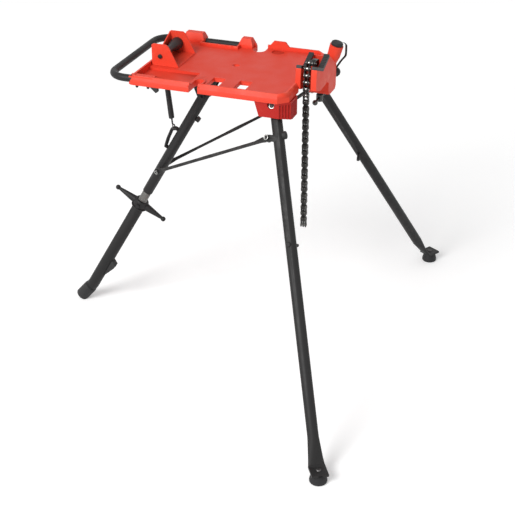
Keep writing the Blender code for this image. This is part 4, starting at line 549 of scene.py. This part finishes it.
def pivot_knobs():
    for name, side in SIDES:
        bolt = frame["nodes"]["brace_bolt_" + name].data.vertices
        middle = sum((vert.co for vert in bolt), Vector()) / len(bolt)
        hinge = Vector((TRAY_X + FRONT_HINGE[0], side * FRONT_HINGE[1], HINGE_LEVEL))
        foot = Vector((TRAY_X + FRONT_FOOT[0], side * FRONT_FOOT[1], FOOT_PLATE_LEVEL))
        run = (foot - hinge).normalized()
        seat = hinge + run * (middle - hinge).dot(run)
        away = (seat - middle).normalized()
        piece = drum(PIVOT_RADIUS, PIVOT_HEIGHT, sides=28)
        with editing(piece):
            pick(piece, lambda p, n: n.z > FACING, "FACE")
            for width, rise in PIVOT_STEPS:
                bpy.ops.mesh.inset(thickness=width, depth=rise)
        soft_edges(piece, width=0.0007)
        piece.matrix_world = turned_to(seat + away * LEG_RADIUS, run, away)
        settle(piece, "pivot_knob_" + name, "front_leg_" + name, RUBBER)


# Rolled edge at the lower end of the levelling nut's hub: its middle along the leg, and its ring

NUT_EDGE_PLACE = 0.4683
NUT_EDGE_RADIUS = 0.0236
NUT_EDGE_HALF = 0.0026
NUT_EDGE_TALLER = 2.6


def nut_edge():
    ring = flat_ring(NUT_EDGE_RADIUS, NUT_EDGE_HALF)
    with editing(ring):
        resize((1.0, 1.0, NUT_EDGE_TALLER))
    ring.matrix_world = turned_to(rear_point(NUT_EDGE_PLACE), OUT, RUN)
    settle(ring, "nut_edge", "nut", CHARCOAL)


# The loop on the rear leg is a flat strip, wider and thicker than its solid

LOOP_WIDENING = 2.0
LOOP_FATTER = 0.0016


def strap_loop():
    piece = copy_of("strap_loop")
    with editing(piece):
        resize((1.0, LOOP_WIDENING, 1.0))
        bpy.ops.transform.shrink_fatten(value=LOOP_FATTER)
    soft_edges(piece, width=0.0008)
    settle(piece, "strap_loop_piece", "rear_leg", CHARCOAL, ("strap_loop",))


# Walls that hang from the floor at two edges of each tool hole and of the key slot

# Left, right, near and far edge of each hole, left and right from the tray's middle
WALLED_HOLES = ((-0.012, 0.024, -0.147, -0.101), (0.067, 0.103, -0.147, -0.101),
                (0.003, 0.019, 0.0042, 0.0202))
WALL_THICK = 0.0022
WALL_TOP = 0.8742
WALL_LOW = 0.8650
WALL_LEAN = 0.0004


def hole_walls():
    """An L of walls, along a hole's left and far edges, leaning outwards a little."""
    for number, (left, right, near, far) in enumerate(WALLED_HOLES, 1):
        size = (WALL_THICK, far - near, WALL_TOP - WALL_LOW)
        middle = (TRAY_X + left - WALL_THICK / 2, (far + near) / 2, (WALL_TOP + WALL_LOW) / 2)
        piece = block(size, middle)
        with editing(piece):
            pick(piece, lambda p, n: n.y > FACING, "FACE")
            extrude((0.0, WALL_THICK, 0.0))
            pick(piece, lambda p, n: n.x > FACING and p.y > far, "FACE")
            extrude((right - left, 0.0, 0.0))
            pick(piece, lambda p, n: p.z < WALL_LOW + ON_RING)
            bpy.ops.transform.translate(value=(-WALL_LEAN, WALL_LEAN, 0.0))
        soft_edges(piece, width=0.0006)
        settle(piece, "hole_wall_%d" % number, "stand", RED)


# Chain: its place and the pins of its fixed stretch are repeated from the solids

CHAIN_X = 0.2754
CHAIN_PITCH = 0.01905
PLATE_RADIUS = 0.00775
PLATE_THICK = 0.0024
# Shares of the pitch, and the plate's width there as a share of its full width
PLATE_WAIST = ((0.3, 0.86), (0.5, 0.74), (0.7, 0.86))
INNER_X = 0.0038
OUTER_X = 0.0066
PIN_RADIUS = 0.0031
PIN_LENGTH = 0.0192
PIN_LEDGE = 0.0007
PIN_DOME_WIDTH = 0.0009
PIN_DOME_RISE = 0.0005
ROLLER_RADIUS = 0.0050
ROLLER_LENGTH = 0.0048
ROLLER_WAIST = 0.94
# Y and Z of each pin, from the anchor in the vee to the first hanging link
LEAD_PINS = [(-0.02300, 0.92500), (-0.04078, 0.93183), (-0.05857, 0.93866), (-0.07357, 0.92692),
             (-0.07834, 0.90847), (-0.08118, 0.88964), (-0.08150, 0.87059), (-0.08150, 0.85154),
             (-0.08150, 0.83249)]
# Places of the plates across the chain, in the narrow and in the wide links
OPEN_LINKS = ((-INNER_X, INNER_X), (-OUTER_X, OUTER_X))
FILLED_LINKS = ((-INNER_X, 0.0, INNER_X), (-OUTER_X, 0.0, OUTER_X))


def chain_plate():
    """Figure-eight plate: first pin at the origin, second one pitch along X, flat along Z."""
    piece = drum(PLATE_RADIUS, PLATE_THICK, sides=28)
    with editing(piece):
        bpy.ops.mesh.duplicate()
        bpy.ops.transform.translate(value=(CHAIN_PITCH, 0.0, 0.0))
        bpy.ops.mesh.select_all(action="SELECT")
        bpy.ops.mesh.convex_hull()
        bpy.ops.mesh.select_all(action="SELECT")
        bpy.ops.mesh.dissolve_limited(angle_limit=FLAT_WITHIN)
        for share, _ in PLATE_WAIST:
            slice_at((CHAIN_PITCH * share, 0.0, 0.0), (1.0, 0.0, 0.0))
        for share, narrow in PLATE_WAIST:
            pick(piece, lambda p, n: abs(p.x - CHAIN_PITCH * share) < ON_RING)
            resize((1.0, narrow, 1.0))
    soft_edges(piece, width=0.0005)
    return piece


def chain_pin():
    """Rivet along Z: a shank with a stepped, domed head at each end."""
    piece = drum(PIN_RADIUS, PIN_LENGTH, sides=20)
    with editing(piece):
        pick(piece, lambda p, n: abs(n.z) > FACING, "FACE")
        bpy.ops.mesh.inset(thickness=PIN_LEDGE, depth=0.0)
        bpy.ops.mesh.inset(thickness=PIN_DOME_WIDTH, depth=PIN_DOME_RISE, use_individual=True)
    soft_edges(piece, width=0.0003)
    return piece


def chain_roller():
    """Waisted roller between the inner plates."""
    piece = drum(ROLLER_RADIUS, ROLLER_LENGTH, sides=24)
    with editing(piece):
        slice_at(ORIGIN, (0.0, 0.0, 1.0))
        pick(piece, lambda p, n: abs(p.z) < ON_RING)
        resize((ROLLER_WAIST, ROLLER_WAIST, 1.0))
    soft_edges(piece, width=0.0005)
    return piece


def chain():
    """Plates, rivets and rollers of the chain, body by body."""
    plate, pin, roller = chain_plate(), chain_pin(), chain_roller()

    def placed(model, point, heading, x=0.0):
        return copy_at(model, turned_to((CHAIN_X + x, *point), heading, (1.0, 0.0, 0.0)))

    def links(points, node, pins_name, pin_finish, offsets):
        plates, pins = [], []
        for number, (first, second) in enumerate(zip(points, points[1:])):
            heading = (0.0, second[0] - first[0], second[1] - first[1])
            plates += [placed(plate, first, heading, x) for x in offsets[number % 2]]
            pins += [placed(pin, second, heading), placed(roller, second, heading)]
        settle(gathered(plates), node + "_plates", BODY_OF[node], CHAIN, (node,))
        settle(gathered(pins), pins_name, BODY_OF[node], pin_finish)

    # The lead's pins and the anchor take the painted-lit pin steel, the hanging pins the painted-shade copy
    links(LEAD_PINS, "chain_lead", "chain_lead_pins", PINS_PAINTED_LIT, OPEN_LINKS)
    y, top = LEAD_PINS[-1]
    for pair in range(HANGING_PAIRS):
        points = [(y, top - CHAIN_PITCH * (2 * pair + link)) for link in range(3)]
        number = "%02d" % (pair + 1)
        links(points, "chain_links_" + number, "chain_pins_" + number, PINS_PAINTED_SHADE, FILLED_LINKS)
    anchor = placed(pin, LEAD_PINS[0], (0.0, -1.0, 0.0))
    settle(anchor, "chain_anchor_pin", "stand", PINS_PAINTED_LIT)
    for model in (plate, pin, roller):
        bpy.data.objects.remove(model, do_unlink=True)


# Thread of the levelling screw: one turn of the nut lifts it by the lead

THREAD_START = 0.330
THREAD_END = 0.6397
THREAD_CORE = 0.0121
THREAD_CREST = 0.01372
THREAD_LEAD = 0.012
THREAD_STARTS = 3
THREAD_STEPS = 28
THREAD_SMOOTH_UP_TO = math.radians(30.0)
RIDGE_HALF_HEIGHT = 0.0009
PLAIN_END = 0.002
CORE_END_INSET = 0.002


def thread_ridge(length, turn):
    """One of the thread's ridges: a diamond profile wound up round the own Z axis."""
    bpy.ops.object.select_all(action="DESELECT")
    bpy.ops.mesh.primitive_circle_add(vertices=4, radius=1.0, fill_type="NOTHING", location=ORIGIN,
                                      rotation=(math.pi / 2, 0.0, 0.0))
    ridge = bpy.context.object
    ridge.scale = (THREAD_CREST - THREAD_CORE, RIDGE_HALF_HEIGHT, 1.0)
    apply_place(ridge)
    with editing(ridge):
        bpy.ops.transform.translate(value=(THREAD_CORE, 0.0, PLAIN_END - length / 2))
    screw = ridge.modifiers.new("lead", "SCREW")
    screw.axis = "Z"
    screw.steps = THREAD_STEPS
    screw.render_steps = THREAD_STEPS
    screw.screw_offset = THREAD_LEAD
    screw.iterations = int((length - 2 * PLAIN_END) / THREAD_LEAD)
    screw.use_normal_calculate = True
    apply_modifier(ridge, screw)
    with editing(ridge):
        bpy.ops.mesh.remove_doubles(threshold=MERGE_WITHIN)
        bpy.ops.mesh.select_all(action="SELECT")
        bpy.ops.mesh.fill_holes(sides=0)
        bpy.ops.mesh.select_all(action="SELECT")
        bpy.ops.mesh.normals_make_consistent(inside=False)
    ridge.rotation_euler = (0.0, 0.0, turn)
    return ridge


def levelling_thread():
    """Core with a raised thread of several starts."""
    length = THREAD_END - THREAD_START
    core = drum(THREAD_CORE, length, sides=48)
    with editing(core):
        pick(core, lambda p, n: abs(n.z) > FACING, "FACE")
        bpy.ops.mesh.inset(thickness=CORE_END_INSET, depth=0.0)
    turns = [2 * math.pi * start / THREAD_STARTS for start in range(THREAD_STARTS)]
    piece = gathered([core] + [thread_ridge(length, turn) for turn in turns])
    bpy.ops.object.shade_smooth_by_angle(angle=THREAD_SMOOTH_UP_TO)
    piece.matrix_world = turned_to(rear_point((THREAD_START + THREAD_END) / 2), OUT, RUN)
    settle(piece, "levelling_thread_piece", "rear_leg", THREAD, ("levelling_thread",))


# Tie strap between the tray's underside and the loop on the rear leg

STRAP_TOP = Vector((-0.1906, 0.0, 0.8735))
STRAP_LOW = Vector((-0.1683, 0.0, 0.6722))
STRAP_RADIUS = 0.0090
STRAP_FLATNESS = 0.86
STRAP_RINGS = 16
# Fullness at the top, what it gains on the way down, and what the two ends are drawn in by
STRAP_FULL = 0.90
STRAP_GAIN = 0.17
STRAP_END_DRAWN = 0.04
STRAP_LIP = 0.0016
STRAP_DISH = 0.001
NECK_RADIUS = 0.0026
NECK_LENGTH = 0.020

HOOK_BAR = (0.1595, 0.0280)
HOOK_RADIUS = 0.0075
HOOK_WIRE = 0.0018
HOOK_SIDES = 12
HOOK_TIP_FROM = 0.55
HOOK_TIP_DRAWN = 0.0022
HOOK_RISE = 0.0016


def tie_strap():
    """Moulded sleeve, a little fuller towards its lower end, with a thin neck to the hook."""
    sleeve = (STRAP_LOW - STRAP_TOP).length - NECK_LENGTH
    levels = [sleeve * (ring / STRAP_RINGS - 0.5) for ring in range(STRAP_RINGS + 1)]
    piece = drum(STRAP_RADIUS, sleeve, sides=32)
    with editing(piece):
        for level in levels[1:-1]:
            slice_at((0.0, 0.0, level), (0.0, 0.0, 1.0))
        for ring, level in enumerate(levels):
            full = STRAP_FULL + STRAP_GAIN * ring / STRAP_RINGS
            if ring in (0, STRAP_RINGS):
                full -= STRAP_END_DRAWN
            pick(piece, lambda p, n: abs(p.z - level) < ON_RING)
            resize((full * STRAP_FLATNESS, full, 1.0))
        pick(piece, lambda p, n: n.z > FACING, "FACE")
        bpy.ops.mesh.inset(thickness=STRAP_LIP, depth=0.0)
        bpy.ops.mesh.inset(thickness=STRAP_RADIUS * STRAP_FLATNESS - NECK_RADIUS - STRAP_DISH,
                           depth=-STRAP_DISH)
        extrude((0.0, 0.0, NECK_LENGTH / 2))
        extrude((0.0, 0.0, NECK_LENGTH / 2 + STRAP_DISH))
    soft_edges(piece, width=0.0009, segments=3)
    run = (STRAP_LOW - STRAP_TOP).normalized()
    piece.matrix_world = turned_to(STRAP_TOP + run * (sleeve / 2), Vector((1.0, 0.0, 0.0)) - run * run.x, run)
    settle(piece, "tie_strap_piece", None, SLEEVE, ("tie_strap",))
    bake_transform(piece)


def strap_hook():
    """Ring round the loop's upper corner, drawn out towards the strap."""
    ring = hoop(HOOK_RADIUS, HOOK_WIRE, HOOK_SIDES)
    with editing(ring):
        pick(ring, lambda p, n: p.x > HOOK_RADIUS * HOOK_TIP_FROM)
        bpy.ops.transform.translate(value=(HOOK_TIP_DRAWN, 0.0, 0.0))
    bpy.ops.object.shade_smooth()
    pull = (OUT - RUN).normalized()
    ring.matrix_world = turned_to(rear_point(*HOOK_BAR) + pull * HOOK_RISE, pull, OUT + RUN)
    settle(ring, "strap_hook", "rear_leg", DARK_STEEL)


# Tether from the knob on the vise's far face up to the cap on the socket

TETHER_POINTS = [(0.2977, 0.1043, 0.8400), (0.2977, 0.1043, 0.8630), (0.3057, 0.1098, 0.8745),
                 (0.3146, 0.1203, 0.8901), (0.3282, 0.1214, 0.9071), (0.3286, 0.1218, 0.9391),
                 (0.3226, 0.1178, 0.9461), (0.3199, 0.1155, 0.9466)]
TETHER_WIDTH = 0.0085
TETHER_THICK = 0.0030
TETHER_TURN = math.radians(-28.0)
TETHER_START = 0.002
TETHER_STEPS = 3
TETHER_ROUNDING = 2
KNOB_MIDDLE = (0.2977, 0.1100, 0.8520)
KNOB_FULLER = 1.40


def tether():
    """Flat rubber strap drawn out from point to point and rounded."""
    foot, *points = [Vector(point) for point in TETHER_POINTS]
    lift = Vector((0.0, 0.0, TETHER_START))
    piece = block((TETHER_WIDTH, TETHER_THICK, TETHER_START), foot + lift / 2, TETHER_TURN)
    with editing(piece):
        pick(piece, lambda p, n: n.z > FACING, "FACE")
        for first, second in zip([foot + lift] + points, points):
            for _ in range(TETHER_STEPS):
                extrude((second - first) / TETHER_STEPS)
    rounding = piece.modifiers.new("rounding", "SUBSURF")
    rounding.levels = TETHER_ROUNDING
    rounding.render_levels = TETHER_ROUNDING
    apply_modifier(piece, rounding)
    bpy.ops.object.shade_smooth()
    settle(piece, "tether_strap_piece", None, RUBBER, ("tether_strap",))
    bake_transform(piece)


def tether_knob():
    """Knob that holds the tether, fuller than its solid."""
    piece = copy_of("tether_knob")
    with editing(piece):
        resize((KNOB_FULLER, 1.0, KNOB_FULLER), KNOB_MIDDLE)
    soft_edges(piece, width=0.0010, segments=3)
    settle(piece, "tether_knob_piece", "stand", RUBBER, ("tether_knob",))


# Square plates at the front legs' flattened ends, over the rubber feet

FOOT_PLATE_SIDE = 0.047
FOOT_PLATE_DEPTH = 0.0072
FOOT_PLATE_LAND = 0.0165
FOOT_RECESS_WALL = 0.0008
FOOT_RECESS_DEPTH = 0.0016


def foot_plates():
    """A plate on each front foot, with a shallow recess for the foot screw."""
    for name, side in SIDES:
        piece = block((FOOT_PLATE_SIDE, FOOT_PLATE_SIDE, FOOT_PLATE_DEPTH))
        with editing(piece):
            pick(piece, lambda p, n: n.z > FACING, "FACE")
            bpy.ops.mesh.inset(thickness=FOOT_PLATE_LAND, depth=0.0)
            bpy.ops.mesh.inset(thickness=FOOT_RECESS_WALL, depth=-FOOT_RECESS_DEPTH)
        soft_edges(piece, width=0.0009)
        centre = (FRONT_FOOT[0] + TRAY_X, side * FRONT_FOOT[1], FOOT_PLATE_LEVEL)
        outward = (FRONT_FOOT[0] - FRONT_HINGE[0], side * (FRONT_FOOT[1] - FRONT_HINGE[1]), 0.0)
        piece.matrix_world = turned_to(centre, outward, (0.0, 0.0, 1.0))
        settle(piece, "foot_plate_" + name, "front_leg_" + name, CHARCOAL)


# Studio and camera

WHITE = (1.0, 1.0, 1.0)
FLOOR_RADIUS = 30.0
FLOOR_LEVEL = -0.0005
FLOOR_SHADES = ((0.3, (0.90, 0.90, 0.90)), (0.7, (0.92, 0.92, 0.92)))
FLOOR_GLOW = 0.26
SKY_LIGHT = 0.42
SKY_SEEN = 1.0
# Kind, strength, place, aim and width: degrees of the sky for the sun, metres for a soft box
LAMPS = {"high_sun": ("SUN", 1.9, (-0.9, -2.5, 2.9), (0.0, 0.0, 0.8), 28.0),
         "front_soft_box": ("AREA", 34.0, (-0.9, -3.0, 2.2), (0.05, 0.0, 0.75), 1.5),
         "right_soft_box": ("AREA", 5.0, (2.6, -1.2, 1.6), (0.1, 0.0, 0.7), 1.4)}
CAMERA_PLACE = (1.2399, -3.1243, 2.0903)
CAMERA_AIM = (0.2170, -0.3140, 0.4500)
CAMERA_LENS = 85.74
CAMERA_SENSOR = 36.0
CAMERA_REACH = 100.0


def aimed(name, data, place, aim):
    """A lamp or camera in its place, looking at its aim."""
    thing = bpy.data.objects.new(name, data)
    thing.location = place
    thing.rotation_euler = (Vector(aim) - Vector(place)).to_track_quat("-Z", "Y").to_euler()
    scene.collection.objects.link(thing)
    return thing


def seen_share(tree):
    """1 on rays that show the studio, straight or by mirroring, and 0 on those that only carry light."""
    path = tree.nodes.new("ShaderNodeLightPath")
    share = path.outputs["Is Camera Ray"]
    for kind in ("Is Glossy Ray", "Is Transmission Ray"):
        either = tree.nodes.new("ShaderNodeMath")
        either.operation = "MAXIMUM"
        tree.links.new(share, either.inputs[0])
        tree.links.new(path.outputs[kind], either.inputs[1])
        share = either.outputs["Value"]
    return share


def pale_floor():
    """Pale floor that keeps the stand's shadow."""
    bpy.ops.object.select_all(action="DESELECT")
    bpy.ops.mesh.primitive_circle_add(vertices=96, radius=FLOOR_RADIUS, fill_type="NGON",
                                      location=(0.0, 0.0, FLOOR_LEVEL))
    floor = bpy.context.object
    floor.name = "studio_floor"
    finish = Finish("pale_floor")
    colour = finish.ramp(finish.noise(scale=0.8), FLOOR_SHADES)
    glow = finish.spread(seen_share(finish.tree), 0.0, FLOOR_GLOW, start=0.0, end=1.0)
    finish.set(Base_Color=colour, Roughness=0.9, Specular_IOR_Level=0.0, Emission_Color=WHITE,
               Emission_Strength=glow)
    floor.data.materials.append(finish.material)


def sky():
    """Sky that lights softly and is seen as white."""
    scene.world = bpy.data.worlds.new("studio_sky")
    scene.world.use_nodes = True
    tree = scene.world.node_tree
    lighting = tree.nodes["Background"]
    seen = tree.nodes.new("ShaderNodeBackground")
    for background, strength in ((lighting, SKY_LIGHT), (seen, SKY_SEEN)):
        background.inputs["Color"].default_value = (*WHITE, 1.0)
        background.inputs["Strength"].default_value = strength
    mix = tree.nodes.new("ShaderNodeMixShader")
    tree.links.new(seen_share(tree), mix.inputs["Fac"])
    tree.links.new(lighting.outputs["Background"], mix.inputs[1])
    tree.links.new(seen.outputs["Background"], mix.inputs[2])
    tree.links.new(mix.outputs["Shader"], tree.nodes["World Output"].inputs["Surface"])


def lamps():
    for name, (kind, energy, place, aim, width) in LAMPS.items():
        data = bpy.data.lights.new(name, kind)
        data.energy = energy
        if kind == "SUN":
            data.angle = math.radians(width)
        else:
            data.shape = "DISK"
            data.size = width
        aimed(name, data, place, aim)


def camera():
    """Camera solved from the photograph."""
    data = bpy.data.cameras.new("photo_camera")
    data.sensor_width = CAMERA_SENSOR
    data.lens = CAMERA_LENS
    data.clip_end = CAMERA_REACH
    scene.camera = aimed("photo_camera", data, CAMERA_PLACE, CAMERA_AIM)


dressed_solids()
bolt_rings()
pivot_knobs()
nut_edge()
strap_loop()
hole_walls()
chain()
levelling_thread()
tie_strap()
strap_hook()
tether()
tether_knob()
foot_plates()
pale_floor()
sky()
lamps()
camera()
scene.view_settings.view_transform = "Standard"
